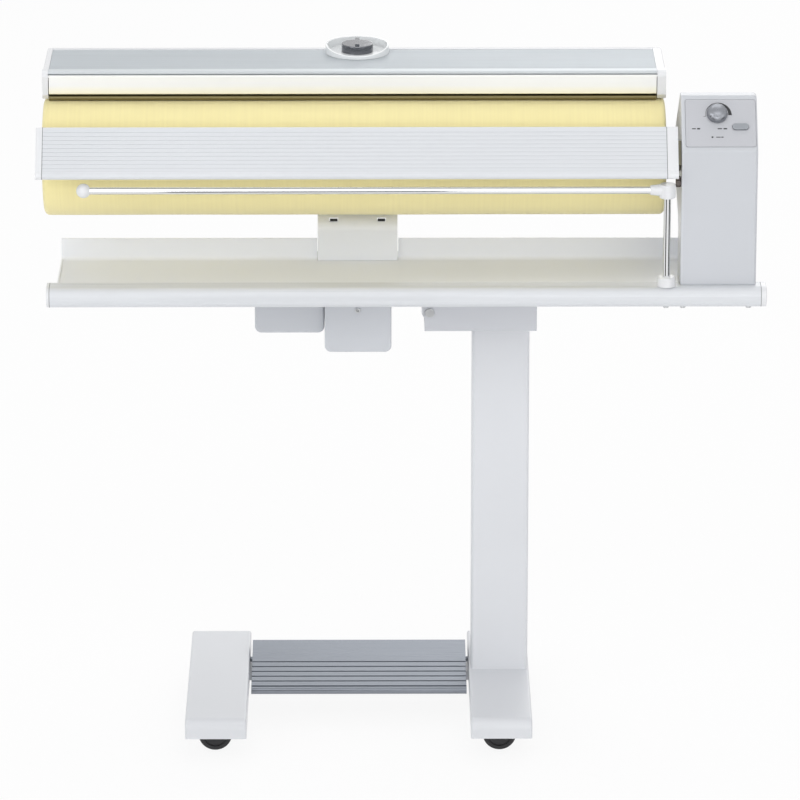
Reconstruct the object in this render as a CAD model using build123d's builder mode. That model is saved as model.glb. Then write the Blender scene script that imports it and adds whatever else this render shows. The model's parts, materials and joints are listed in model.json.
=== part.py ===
from build123d import *
from math import cos, radians, sin, sqrt
import os

# Rotary ironer for flat laundry: a padded roller over a tray, a heated shoe
# above and behind it, a control box at its right end, all on a side column
# that folds, with two feet on castors and a foot bar between them.
# Millimetres. X runs to the right, Y to the back, Z up. The origin is on the
# floor, at the middle of the whole machine.

# ---------------------------------------------------------------- clearances
seat_gap = 0.3          # between pieces that only rest against each other
run_gap = 0.05          # radial clearance of a shaft in its bore
part_gap = 1.0          # between pieces that pass each other when they move
wide_gap = 1.5          # round turning pieces near a wall

# ---------------------------------------------------------------- roller
roller_left = -484.0
roller_length = 840.0
roller_radius = 80.0
padding_depth = 9.8
roller_wall = 1.5
roller_y = -7.0
roller_over_tray = 154.0
axle_radius = 14.0
axle_wall = 3.0
hub_radius = 22.0
hub_length = 26.0
end_plate_depth = 6.0
end_inset = 8.0
padding_corner = 7.0

# ---------------------------------------------------------------- tray and its front rail
tray_floor_z = 657.0
tray_sheet = 2.0
tray_depth = 134.0
tray_back_y = 21.0
upstand_height = 30.0
upstand_fold = 6.0
tray_inset = 19.0
rail_inset = 6.0
front_rail_depth = 32.0
front_rail_height = 28.0
front_rail_rise = 6.0
front_rail_round = 12.0
front_rail_overhang = 14.0
front_rail_wall = 2.0
front_rail_tongue = 30.0
rail_cap_left = 4.0
rail_cap_right = 7.5
end_cap_edge = 1.5

# ---------------------------------------------------------------- beam under the tray
beam_height = 19.0
beam_wall = 2.0
beam_left = -190.0
beam_front_gap = 5.0
beam_back_reach = 45.0

# ---------------------------------------------------------------- base
foot_width = 84.0
foot_length = 359.0
foot_front_y = -190.0
foot_top_z = 62.0
foot_height = 27.0
foot_wall = 2.5
foot_nose = 14.0
foot_edge = 3.0
left_foot_x = -255.0
right_foot_x = 136.0
column_width = 79.0
column_depth = 60.0
column_front_y = 10.0
column_wall = 2.5
column_corner = 5.0
crossbar_depth = 38.0
crossbar_height = 13.0
crossbar_y = 40.0
crossbar_wall = 2.0
switch_width = 28.0
switch_depth = 22.0
switch_height = 6.5
switch_stem_radius = 2.5

# ---------------------------------------------------------------- castors
wheel_radius = 23.0
wheel_width = 14.0
wheel_bore = 2.6
castor_trail = 10.0
castor_offset = 8.0
castor_inset = 55.0
kingpin_radius = 4.0
fork_sheet = 2.0
fork_crown = 4.0
fork_foot_half = 6.0
boss_radius = 8.0
tread_round = 3.0
wheel_rim = 6.0
wheel_dish = 2.0

# ---------------------------------------------------------------- foot bar
bar_end_gap = 3.5
bar_front_y = -32.0
bar_front_drop = 13.0
bar_depth = 135.0
bar_rise = 23.5
bar_plate = 5.0
bar_rib_count = 6
bar_rib_pitch = 13.4
bar_rib_height = 1.4
bar_rib_width = 10.8
bar_bead_radius = 5.0
bar_flange_depth = 4.0
bar_flange_drop = 8.0
bar_pivot_inset = 13.0
bar_pivot_drop = 14.0
bar_pivot_radius = 4.0
bar_end_sheet = 3.0
bar_lug_radius = 7.5
bar_lug_reach = 24.0
spring_wire = 1.2
spring_gap = 0.6
spring_turns = 5
spring_room = 14.0

# ---------------------------------------------------------------- fold joint
fold_pin_x = 38.0
fold_pin_drop = 34.0
fold_pin_radius = 4.0
fold_pin_edge = 7.0
pin_head_radius = 6.5
pin_head_depth = 2.5
bracket_length = 153.0
bracket_height = 59.0
bracket_front_y = -52.0
bracket_depth = 128.0
bracket_sheet = 3.0
fold_lug_radius = 11.0
fold_arm_drop = 24.0
fold_arm_bend = 30.0
clamp_inset = 34.0
clamp_rise = 31.0
clamp_radius = 5.0
clamp_length = 58.0
clamp_hub_radius = 11.0
clamp_hub_depth = 9.0
clamp_handle_depth = 7.0

# ---------------------------------------------------------------- covers under the tray
motor_cover_left = -200.0
motor_cover_width = 94.5
motor_cover_depth = 111.0
motor_cover_height = 65.0
under_cover_gap = 0.5
gear_cover_width = 91.0
gear_cover_depth = 126.0
gear_cover_height = 88.0
cover_corner = 9.0
under_cover_edge = 3.0
under_cover_wall = 2.0

# ---------------------------------------------------------------- shoe
shoe_gap = 0.6
shoe_plate_depth = 7.0
shoe_front_angle = -8.0
shoe_back_angle = 118.0
shoe_pivot_reach = 130.0
shoe_pivot_drop = 109.0
shoe_pivot_radius = 6.0
cover_front_reach = 15.0
cover_front_rise = 10.0
cover_over_roller = 39.0
cover_back_reach = 197.0
cover_round = 80.0
cover_low_drop = 36.0
cover_foot_inset = 25.0
cover_foot_drop = 69.0
cover_foot_round = 32.0
cover_low_end_reach = 81.0
cover_lip_reach = 73.3
cover_lip_drop = 39.0
cover_opening_gap = 3.0
opening_back_angle = 118.0
opening_front_angle = 6.0
lip_rise = 2.5
lip_setback = 2.0
lip_depth = 14.0
lip_run = 6.0
lip_edge = 1.5
cap_nose_drop = 5.0
cap_nose_run = 8.0
cap_nose_round = 9.0
cover_cap_edge = 3.0
window_margin = 4.0
window_clear = 15.0
cover_sheet = 2.0
cover_cap_left = 8.0
cover_cap_right = 12.0
top_panel_depth = 4.0
top_rib_pitch = 5.0
top_rib_height = 0.8
guard_depth = 4.0
guard_pin_radius = 1.5
guard_hinge_drop = 4.7
guard_pin_reach = 4.0
carrier_width = 90.0
carrier_wall = 8.0
carrier_eye = 14.0
carrier_beam_reach = 99.0
carrier_beam_rise = 13.0
carrier_beam_depth = 30.0
carrier_beam_height = 20.0
carrier_web = 6.0
carrier_leg_half = 10.0
carrier_leg_inset = 60.0
carrier_leg_spacing = 160.0
carrier_front_reach = 60.0
carrier_knee_drop = 45.0
carrier_knee_reach = 20.0
tank_stay_inset = 2.0
heater_radius = 4.0
heater_inset = 8.0
heater_angles = [14, 38, 62]
lever_reach = 78.0
lever_drop = 2.0
lever_pin_radius = 4.0
lever_half = 5.0
lever_end_radius = 8.0
tank_width = 180.0
tank_front_reach = 43.0
tank_back_reach = 16.0
tank_height = 28.0
tank_wall = 2.0
tank_corner = 8.0
filler_x = -60.0
filler_setback = 16.0
neck_radius = 15.0
collar_radius = 43.5
collar_height = 12.0
collar_wall = 2.5
collar_floor = 1.6
collar_dip = 8.0
collar_skirt = 20.0
cap_radius = 21.5
cap_height = 11.0
cap_edge = 1.2
cap_grip_height = 3.0
cap_grip_width = 6.0

# ---------------------------------------------------------------- bracket that carries the shoe
support_width = 109.0
support_front_reach = 9.0
support_rise = 22.0
support_sheet = 3.0
support_round = 27.0
support_eye_radius = 17.0
support_slot_spacing = 65.0
support_slot_width = 12.0
support_plate_depth = 63.0
pivot_head_depth = 3.0

# ---------------------------------------------------------------- press drive
crank_radius = 7.7
crank_drop = 33.0
crank_disc_radius = 13.0
crank_pin_radius = 3.0
link_radius = 5.0
press_motor_radius = 17.5
press_motor_inset = 8.0
press_shaft_radius = 4.0
crank_disc_depth = 6.0
crank_pin_length = 7.0
link_head_depth = 5.0
link_head_half = 18.0
link_head_low = 12.0
link_head_high = 10.0
link_fork_half = 9.0
link_fork_sheet = 3.0
link_fork_rise = 9.0
link_fork_drop = 18.0
slot_play = 0.6

# ---------------------------------------------------------------- feed board
board_overhang = 6.0
board_box_gap = 4.5
board_low_reach = 134.5
board_low_rise = 6.5
board_run = 44.5
board_rise = 57.5
board_plate = 7.0
board_groove_count = 10
board_groove_width = 1.3
board_groove_depth = 0.5
board_bead_radius = 5.0
board_cap_left = 9.0
board_cap_right = 15.0
board_arm_sheet = 3.5
board_arm_eye = 19.0
board_arm_round = 8.0
bracket_low_share = 0.28
bracket_span = 35.3
bracket_fold = 2.0
bracket_leg = 20.0
bracket_lap = 22.0

# ---------------------------------------------------------------- control box
box_gap = 18.0
box_width = 102.0
box_wall = 2.5
box_edge = 4.0
side_cover_depth = 3.0
box_front_inset = 18.0
box_depth = 70.0
box_crease_rise = 38.0
panel_run = 54.0
panel_rise = 63.0
box_panel_edge = 3.0
box_tail_top_reach = 54.0
box_tail_top_rise = 26.0
box_tail_back_reach = 67.0
box_tail_middle_rise = 4.0
box_tail_low_reach = 59.0
box_tail_low_drop = 26.0
box_belly_reach = 15.0
box_belly_drop = 51.0
box_heel_drop = 86.0
box_heel_run = 7.0
box_heel_rise = 13.0
side_cover_edge = 1.0
drive_frame_gap = 4.0
drive_frame_sheet = 4.0
drive_frame_foot = 40.0
drive_frame_inset = 6.0
drive_frame_waist = 60.0
drive_frame_shoulder = 6.0
drive_frame_crown = [(22, -28), (30, 8), (-20, 32)]
frame_boss_wall = 6.0
frame_boss_length = 22.0
frame_pinion_gap = 2.0
fascia_depth = 1.8
fascia_recess = 1.5
fascia_length = 94.0
fascia_height = 70.0
fascia_corner = 3.0
fascia_gap = 0.5
fascia_edge = 0.4
spindle_radius = 3.0
spindle_length = 14.0
knob_radius = 14.0
knob_height = 13.0
knob_edge = 1.5
knob_shift = 0.66
knob_offset = -4.5
button_width = 22.0
button_depth = 9.0
button_travel = 2.0
button_proud = 2.6
button_edge = 0.8
button_stem = 2.5
button_shift = 0.43
button_offset = 26.5

# ---------------------------------------------------------------- circuit board on the box's right wall
circuit_setback = 7.0
circuit_depth = 54.0
circuit_rise = 23.0
circuit_height = 60.0
circuit_board = 1.6
circuit_standoff = 7.5
circuit_inset = 5.0
circuit_post_radius = 3.0
circuit_blocks = [(8, 15, 18, 30, 12), (34, 8, 12, 12, 9)]
capacitor_place = (40.0, 35.0)
capacitor_radius = 5.0
capacitor_length = 14.0

# ---------------------------------------------------------------- roller drive
gear_module = 2.5
gear_teeth = 30
pinion_teeth = 12
gear_width = 10.0
gear_wall_gap = 3.0
gear_hub_past = 2.0
gear_play = 0.15
pinion_bore = 5.0
pinion_direction = 221.0
motor_radius = 27.0
motor_length = 50.0
motor_shift = 6.0
motor_edge = 2.0
gearbox_depth = 20.0
gearbox_front = 40.0
gearbox_back = 14.0
gearbox_low = 22.0
gearbox_high = 14.0
axle_past_frame = 24.0

# ---------------------------------------------------------------- laundry rail
post_setback = 14.0
post_radius = 4.85
rod_radius = 5.0
rod_rise = 133.5
post_inset = 1.0
rod_left_inset = 58.0
ball_radius = 9.8
hub_height = 19.0
rail_hub_radius = 11.0
hub_edge = 1.5
hub_nose_length = 16.0
hub_nose_radius = 8.4
rod_bury = 8.0
bush_radius = 12.4
bush_height = 13.0
bush_edge = 2.0
bush_floor = 2.0

# ---------------------------------------------------------------- places that follow
roller_right = roller_left + roller_length
roller_z = tray_floor_z + roller_over_tray
tube_radius = roller_radius - padding_depth
box_left = roller_right + box_gap
box_right = box_left + box_width
beam_top = tray_floor_z - tray_sheet
beam_bottom = beam_top - beam_height
beam_right = box_right - 6.0
rail_back_y = tray_back_y - tray_depth
front_rail_y = rail_back_y - front_rail_depth
front_rail_top = tray_floor_z + front_rail_rise
front_rail_bottom = front_rail_top - front_rail_height
beam_front_y = rail_back_y + beam_front_gap
beam_back_y = tray_back_y + beam_back_reach
foot_floor_z = foot_top_z - foot_height
foot_back_y = foot_front_y + foot_length
castor_front_y = foot_front_y + castor_inset
castor_back_y = foot_back_y - castor_inset
bar_front_z = foot_top_z - bar_front_drop
bar_back_y = bar_front_y + bar_depth
bar_back_z = bar_front_z + bar_rise
bar_pivot_y = bar_back_y - bar_pivot_inset
bar_pivot_z = foot_top_z - bar_pivot_drop
fold_pin_z = beam_bottom - fold_pin_drop
bracket_left = fold_pin_x - fold_pin_edge
bracket_right = bracket_left + bracket_length
bracket_top = beam_bottom - 2.0
bracket_floor = bracket_top - bracket_height
bracket_back_y = bracket_front_y + bracket_depth
clamp_x = bracket_right - clamp_inset
clamp_z = bracket_floor + clamp_rise
motor_cover_right = motor_cover_left + motor_cover_width
motor_cover_front_y = beam_back_y - motor_cover_depth
gear_cover_left = motor_cover_right + under_cover_gap
gear_cover_right = gear_cover_left + gear_cover_width
gear_cover_front_y = beam_back_y - gear_cover_depth
shoe_pivot_y = roller_y + shoe_pivot_reach
shoe_pivot_z = roller_z - shoe_pivot_drop
lever_y = shoe_pivot_y - lever_reach
lever_z = shoe_pivot_z - lever_drop
link_y = lever_y
crank_z = beam_bottom - crank_drop
support_x = gear_cover_left + gear_cover_width / 2 - 0.5
support_front_y = tray_back_y - support_front_reach
support_top_z = shoe_pivot_z + support_rise
support_plate_back_y = support_front_y + support_plate_depth
cover_front_y = roller_y - cover_front_reach
cover_front_z = roller_z + roller_radius + cover_front_rise
cover_top_z = roller_z + roller_radius + cover_over_roller
cover_back_y = roller_y + cover_back_reach
cover_turn_y = cover_back_y - cover_round
cover_turn_z = cover_top_z - cover_round
cover_low_z = roller_z - cover_low_drop
cover_foot_y = cover_back_y - cover_foot_inset
cover_foot_z = roller_z - cover_foot_drop
cover_low_end_y = roller_y + cover_low_end_reach
cover_lip_back_y = roller_y + cover_lip_reach
cover_lip_back_z = roller_z - cover_lip_drop
lip_front_y = cover_front_y + lip_setback
lip_back_y = lip_front_y + lip_depth
lip_top_z = cover_top_z + lip_rise
filler_y = cover_turn_y - filler_setback
board_low_y = roller_y - board_low_reach
board_low_z = roller_z + board_low_rise
shell_left = box_left + side_cover_depth
box_front_y = front_rail_y + box_front_inset
box_back_y = box_front_y + box_depth
box_crease_z = roller_z + box_crease_rise
box_panel_top_y = box_front_y + panel_run
box_top_z = box_crease_z + panel_rise
box_heel_z = roller_z - box_heel_drop
fascia_x = (shell_left + box_right) / 2
knob_x = fascia_x + knob_offset
button_x = fascia_x + button_offset
gear_x = shell_left + gear_wall_gap
drive_frame_x = gear_x + gear_width + drive_frame_gap
post_y = front_rail_y + post_setback
rod_z = front_rail_top + rod_rise
rod_left = roller_left + rod_left_inset
screw_radius = 2.0
screw_head_radius = 4.0
screw_head_depth = 2.2
screw_length = 8.0
screw_z = beam_bottom - 28.0
post_x = roller_right - post_inset
rail_screw_x = (post_x, box_left + 3.6, box_right - 10.0)
crank_disc_x = support_x - 9.0
link_head_x = crank_disc_x + crank_disc_depth + part_gap
link_x = link_head_x + link_radius


def span_box(x0, x1, y0, y1, z0, z1, mode=Mode.ADD):
    """A block between two corners."""
    with Locations(((x0 + x1) / 2, (y0 + y1) / 2, (z0 + z1) / 2)):
        Box(abs(x1 - x0), abs(y1 - y0), abs(z1 - z0), mode=mode)


def rod_x(radius, x0, x1, y, z, mode=Mode.ADD):
    """A round bar along X."""
    with Locations(Location(((x0 + x1) / 2, y, z), (0, 90, 0))):
        Cylinder(radius, abs(x1 - x0), mode=mode)


def rod_y(radius, x, y0, y1, z, mode=Mode.ADD):
    """A round bar along Y."""
    with Locations(Location((x, (y0 + y1) / 2, z), (90, 0, 0))):
        Cylinder(radius, abs(y1 - y0), mode=mode)


def rod_up(radius, x, y, z0, z1, mode=Mode.ADD):
    """A round bar along Z."""
    with Locations((x, y, (z0 + z1) / 2)):
        Cylinder(radius, abs(z1 - z0), mode=mode)


def keep(builder, name):
    """Label a finished piece and write it."""
    builder.part.label = name
    export_step(builder.part, "parts/" + name + ".step")


os.makedirs("parts", exist_ok=True)

# ================================================================ feet, column, crossbar


def foot_shell(centre_x):
    """A foot: a channel open below, with a rounded nose and two castor bosses."""
    inner_top = foot_top_z - foot_wall
    with BuildPart() as foot:
        with BuildSketch(Plane.YZ.offset(centre_x - foot_width / 2)):
            with BuildLine():
                Polyline(
                    (foot_front_y, foot_top_z - foot_nose),
                    (foot_front_y, foot_floor_z),
                    (foot_back_y, foot_floor_z),
                    (foot_back_y, foot_top_z),
                    (foot_front_y + foot_nose, foot_top_z),
                )
                RadiusArc(
                    (foot_front_y + foot_nose, foot_top_z),
                    (foot_front_y, foot_top_z - foot_nose),
                    -foot_nose,
                )
            make_face()
        extrude(amount=foot_width)
        sides = foot.faces().filter_by(Axis.X)
        side_edges = [edge for face in sides for edge in face.edges()]
        fillet([edge for edge in side_edges if edge.center().Z > foot_floor_z + 1], foot_edge)
        offset(amount=-foot_wall, openings=foot.faces().sort_by(Axis.Z)[0])
        for y in (castor_front_y, castor_back_y):
            king_x = centre_x + castor_offset
            rod_up(boss_radius, king_x, y, crown_top + seat_gap, inner_top)
            rod_up(kingpin_radius + run_gap, king_x, y, crown_top, inner_top, Mode.SUBTRACT)
        inner = 1 if centre_x < right_foot_x else -1
        wall_x = centre_x + inner * foot_width / 2
        rod_x(
            bar_pivot_radius + run_gap,
            wall_x - foot_wall - 1,
            wall_x + foot_wall + 1,
            bar_pivot_y,
            bar_pivot_z,
            Mode.SUBTRACT,
        )
    return foot


crown_top = 2 * wheel_radius + wide_gap + fork_crown
left_foot = foot_shell(left_foot_x)
keep(left_foot, "left_foot")
right_foot = foot_shell(right_foot_x)
keep(right_foot, "right_foot")

feet_inner_left = left_foot_x + foot_width / 2
feet_inner_right = right_foot_x - foot_width / 2

with BuildPart() as foot_crossbar:
    crossbar_bottom = foot_floor_z
    crossbar_top = crossbar_bottom + crossbar_height
    span_box(
        feet_inner_left,
        feet_inner_right,
        crossbar_y,
        crossbar_y + crossbar_depth,
        crossbar_bottom,
        crossbar_top,
    )
    span_box(
        feet_inner_left - 1,
        feet_inner_right + 1,
        crossbar_y + crossbar_wall,
        crossbar_y + crossbar_depth - crossbar_wall,
        crossbar_bottom + crossbar_wall,
        crossbar_top - crossbar_wall,
        Mode.SUBTRACT,
    )
keep(foot_crossbar, "foot_crossbar")

column_x = right_foot_x + 0.5
column_middle_y = column_front_y + column_depth / 2
with BuildPart() as column:
    with BuildSketch(Plane.XY.offset(foot_top_z)):
        with Locations((column_x, column_middle_y)):
            RectangleRounded(column_width, column_depth, column_corner)
            RectangleRounded(
                column_width - 2 * column_wall,
                column_depth - 2 * column_wall,
                column_corner - column_wall,
                mode=Mode.SUBTRACT,
            )
    extrude(amount=bracket_floor - foot_top_z)
keep(column, "column")

# ================================================================ castors


def castor_fork(king_x, king_y):
    """A fork with its kingpin and riveted axle; the wheel trails towards -X."""
    axle_x = king_x - castor_trail
    leg_y = wheel_width / 2 + part_gap
    crown_bottom = crown_top - fork_crown
    with BuildPart() as fork:
        for side in (-1, 1):
            start = king_y - leg_y if side < 0 else king_y + leg_y + fork_sheet
            with BuildSketch(Plane.XZ.offset(-start)):
                with BuildLine():
                    Polyline(
                        (king_x + boss_radius, crown_top),
                        (king_x - castor_trail - fork_sheet, crown_top),
                        (axle_x - fork_foot_half, wheel_radius - fork_crown),
                        (axle_x + fork_foot_half, wheel_radius - fork_crown),
                        close=True,
                    )
                make_face()
            extrude(amount=fork_sheet)
        span_box(
            king_x - castor_trail - fork_sheet,
            king_x + boss_radius,
            king_y - leg_y - fork_sheet,
            king_y + leg_y + fork_sheet,
            crown_bottom,
            crown_top,
        )
        rod_up(kingpin_radius, king_x, king_y, crown_top, foot_top_z - foot_wall - part_gap)
        leg_end = leg_y + fork_sheet
        rod_y(wheel_bore - run_gap, axle_x, king_y - leg_end, king_y + leg_end, wheel_radius)
    return fork


def castor_wheel(king_x, king_y):
    """A disc wheel with a rounded tread and dished sides."""
    axle_x = king_x - castor_trail
    with BuildPart() as wheel:
        rod_y(wheel_radius, axle_x, king_y - wheel_width / 2, king_y + wheel_width / 2, wheel_radius)
        fillet(wheel.edges().filter_by(GeomType.CIRCLE), tread_round)
        for side in (-1, 1):
            face_y = king_y + side * wheel_width / 2
            dish_y = face_y - side * wheel_dish
            rod_y(wheel_radius - wheel_rim, axle_x, dish_y, face_y + side, wheel_radius, Mode.SUBTRACT)
            rod_y(wheel_rim, axle_x, dish_y, face_y, wheel_radius)
        rod_y(wheel_bore, axle_x, king_y - wheel_width, king_y + wheel_width, wheel_radius, Mode.SUBTRACT)
    return wheel


castor_places = {
    "front_left": (left_foot_x + castor_offset, castor_front_y),
    "front_right": (right_foot_x + castor_offset, castor_front_y),
    "back_left": (left_foot_x + castor_offset, castor_back_y),
    "back_right": (right_foot_x + castor_offset, castor_back_y),
}
for place, (king_x, king_y) in castor_places.items():
    keep(castor_fork(king_x, king_y), "castor_fork_" + place)
    keep(castor_wheel(king_x, king_y), "castor_wheel_" + place)

# ================================================================ foot bar
bar_left = feet_inner_left + bar_end_gap
bar_right = feet_inner_right - bar_end_gap
bar_length = bar_right - bar_left
bar_run = sqrt((bar_back_y - bar_front_y) ** 2 + (bar_back_z - bar_front_z) ** 2)
bar_slope = Vector(0, bar_back_y - bar_front_y, bar_back_z - bar_front_z) / bar_run
bar_plane = Plane(
    origin=((bar_left + bar_right) / 2, bar_front_y, bar_front_z),
    x_dir=(1, 0, 0),
    z_dir=(0, -bar_slope.Z, bar_slope.Y),
)


def bar_middle_z(y):
    """Height of the middle of the foot bar's plate at a depth."""
    return bar_front_z + (y - bar_front_y) * bar_slope.Z / bar_slope.Y - bar_plate / 2


spring_pitch = spring_wire + spring_gap
coil_radius = bar_pivot_radius + spring_wire / 2 + part_gap


def coil_point(turns):
    """A point of the spring's middle line after a number of turns."""
    angle = radians(360 * turns)
    return Vector(spring_pitch * turns, coil_radius * cos(angle), coil_radius * sin(angle))


def coil_clearance():
    """The least distance between turns of the spring, from points on its middle line."""
    points = [coil_point(step / 36) for step in range(36 * spring_turns + 1)]
    nearest = min(
        (points[first] - points[second]).length
        for first in range(len(points))
        for second in range(first + 18, len(points))
    )
    return nearest - spring_wire


def torsion_coil(start_x):
    """A hidden return spring wound round a pivot of the foot bar."""
    with BuildPart() as coil:
        with BuildLine() as path:
            Helix(
                pitch=spring_pitch,
                height=spring_pitch * spring_turns,
                radius=coil_radius,
                center=(start_x, bar_pivot_y, bar_pivot_z),
                direction=(1, 0, 0),
            )
        with BuildSketch(Plane(origin=path.line @ 0, z_dir=path.line % 0)):
            Circle(spring_wire / 2)
        sweep(is_frenet=True)
    return coil.part


with BuildPart() as foot_bar:
    with BuildSketch(bar_plane.offset(-bar_plate)):
        with Locations((0, bar_run / 2)):
            Rectangle(bar_length, bar_run)
    extrude(amount=bar_plate)
    with BuildSketch(bar_plane):
        for rib in range(bar_rib_count):
            with Locations((0, bar_bead_radius + (rib + 0.5) * bar_rib_pitch + part_gap)):
                Rectangle(bar_length, bar_rib_width)
    extrude(amount=bar_rib_height, taper=8)
    with Locations(bar_plane.offset(-bar_plate / 2).location * Rotation(0, 90, 0)):
        Cylinder(bar_bead_radius, bar_length)
    back_flange = bar_plane.offset(-bar_plate)
    with BuildSketch(back_flange):
        with Locations((0, bar_run - bar_flange_depth / 2)):
            Rectangle(bar_length, bar_flange_depth)
    extrude(amount=-bar_flange_drop)
    for end_x in (bar_left, bar_right - bar_end_sheet):
        with BuildSketch(Plane.YZ.offset(end_x)):
            with BuildLine():
                Polyline(
                    (bar_pivot_y - bar_lug_reach, bar_middle_z(bar_pivot_y - bar_lug_reach)),
                    (bar_pivot_y - bar_lug_radius, bar_pivot_z),
                    (bar_pivot_y + bar_lug_radius, bar_pivot_z),
                    (bar_pivot_y + bar_lug_radius, bar_middle_z(bar_pivot_y + bar_lug_radius)),
                    close=True,
                )
            make_face()
            with Locations((bar_pivot_y, bar_pivot_z)):
                Circle(bar_lug_radius)
        extrude(amount=bar_end_sheet)
    stub_reach = bar_end_gap + foot_wall
    rod_x(bar_pivot_radius, bar_left - stub_reach, bar_left + spring_room, bar_pivot_y, bar_pivot_z)
    rod_x(bar_pivot_radius, bar_right - spring_room, bar_right + stub_reach, bar_pivot_y, bar_pivot_z)
keep(foot_bar, "foot_bar")

coil_left = torsion_coil(bar_left + bar_end_sheet + part_gap)
coil_right = torsion_coil(bar_right - bar_end_sheet - part_gap - spring_turns * spring_pitch)
print("pedal spring, gap between turns:", round(coil_clearance(), 3), "mm")
pedal_springs = Compound(children=[coil_left, coil_right])
pedal_springs.label = "pedal_springs"
export_step(pedal_springs, "parts/pedal_springs.step")

with BuildPart() as foot_switch:
    switch_x = (bar_left + bar_right) / 2
    switch_low_z = crossbar_bottom + 0.5
    switch_top_z = switch_low_z + switch_height
    span_box(
        switch_x - switch_width / 2,
        switch_x + switch_width / 2,
        crossbar_y - switch_depth,
        crossbar_y,
        switch_low_z,
        switch_top_z,
    )
    rod_up(switch_stem_radius, switch_x, crossbar_y - 0.64 * switch_depth, switch_top_z, switch_top_z + 2)
    fillet(foot_switch.edges().filter_by(Axis.Z).filter_by(GeomType.LINE), 1)
keep(foot_switch, "foot_switch")

# ================================================================ fold joint on the column
with BuildPart() as fold_bracket:
    span_box(bracket_left, bracket_right, bracket_front_y, bracket_back_y, bracket_floor, bracket_top)
    span_box(
        bracket_left - 1,
        bracket_right + 1,
        bracket_front_y + bracket_sheet,
        bracket_back_y - bracket_sheet,
        bracket_floor + bracket_sheet,
        bracket_top + 1,
        Mode.SUBTRACT,
    )
    fillet(
        fold_bracket.edges().filter_by(Axis.X).group_by(Axis.Z)[0],
        bracket_sheet - 0.5,
    )
    rod_y(
        fold_pin_radius + run_gap,
        fold_pin_x,
        bracket_front_y - 1,
        bracket_back_y + 1,
        fold_pin_z,
        Mode.SUBTRACT,
    )
    rod_y(clamp_radius + run_gap, clamp_x, bracket_back_y - 5, bracket_back_y + 1, clamp_z, Mode.SUBTRACT)
keep(fold_bracket, "fold_bracket")

with BuildPart() as fold_pin:
    pin_front = bracket_front_y - seat_gap
    pin_back = bracket_back_y + seat_gap
    rod_y(fold_pin_radius, fold_pin_x, pin_front, pin_back, fold_pin_z)
    rod_y(pin_head_radius, fold_pin_x, pin_front - pin_head_depth, pin_front, fold_pin_z)
    rod_y(pin_head_radius, fold_pin_x, pin_back, pin_back + pin_head_depth, fold_pin_z)
    fillet(fold_pin.faces().sort_by(Axis.Y)[0].edges(), 1)
keep(fold_pin, "fold_pin")

arm_front_y = bracket_front_y + bracket_sheet + part_gap
arm_back_y = bracket_back_y - bracket_sheet - part_gap
arm_left = fold_pin_x - fold_lug_radius
arm_right = bracket_right - 4.0
arm_low_z = fold_pin_z - fold_lug_radius
with BuildPart() as fold_arm:
    for cheek_y in (arm_front_y + bracket_sheet, arm_back_y):
        with BuildSketch(Plane.XZ.offset(-cheek_y)):
            with BuildLine():
                Polyline(
                    (arm_left, fold_pin_z),
                    (arm_left, beam_bottom),
                    (arm_right, beam_bottom),
                    (arm_right, beam_bottom - fold_arm_drop),
                    (fold_pin_x + fold_arm_bend, arm_low_z),
                    (fold_pin_x, arm_low_z),
                    close=True,
                )
            make_face()
            with Locations((fold_pin_x, fold_pin_z)):
                Circle(fold_lug_radius)
                Circle(fold_pin_radius + run_gap, mode=Mode.SUBTRACT)
        extrude(amount=bracket_sheet)
    span_box(arm_left, arm_right, arm_front_y, arm_back_y, beam_bottom - bracket_sheet, beam_bottom)
keep(fold_arm, "fold_arm")

with BuildPart() as fold_clamp:
    clamp_tip_y = arm_back_y + seat_gap
    clamp_hub_y = bracket_back_y + seat_gap
    handle_back_y = clamp_hub_y + clamp_hub_depth + clamp_handle_depth - 1
    rod_y(clamp_radius, clamp_x, clamp_tip_y, clamp_hub_y, clamp_z)
    rod_y(clamp_hub_radius, clamp_x, clamp_hub_y, clamp_hub_y + clamp_hub_depth, clamp_z)
    with BuildSketch(Plane.XZ.offset(-handle_back_y)):
        with Locations((clamp_x, clamp_z)):
            Circle(clamp_hub_radius - 1)
        with Locations((clamp_x, clamp_z - clamp_length)):
            Circle(clamp_hub_radius - 4)
        make_hull()
    extrude(amount=clamp_handle_depth)
    fillet(fold_clamp.faces().sort_by(Axis.Y)[-1].edges(), 1.2)
keep(fold_clamp, "fold_clamp")

# ================================================================ beam, tray, front rail
with BuildPart() as chassis_beam:
    span_box(beam_left, beam_right, beam_front_y, beam_back_y, beam_bottom, beam_top)
    span_box(
        beam_left - 1,
        beam_right + 1,
        beam_front_y + beam_wall,
        beam_back_y - beam_wall,
        beam_bottom + beam_wall,
        beam_top - beam_wall,
        Mode.SUBTRACT,
    )
    rod_up(link_radius + 2 * part_gap, link_x, link_y, beam_bottom - 1, beam_top + 1, Mode.SUBTRACT)
keep(chassis_beam, "chassis_beam")

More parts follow.
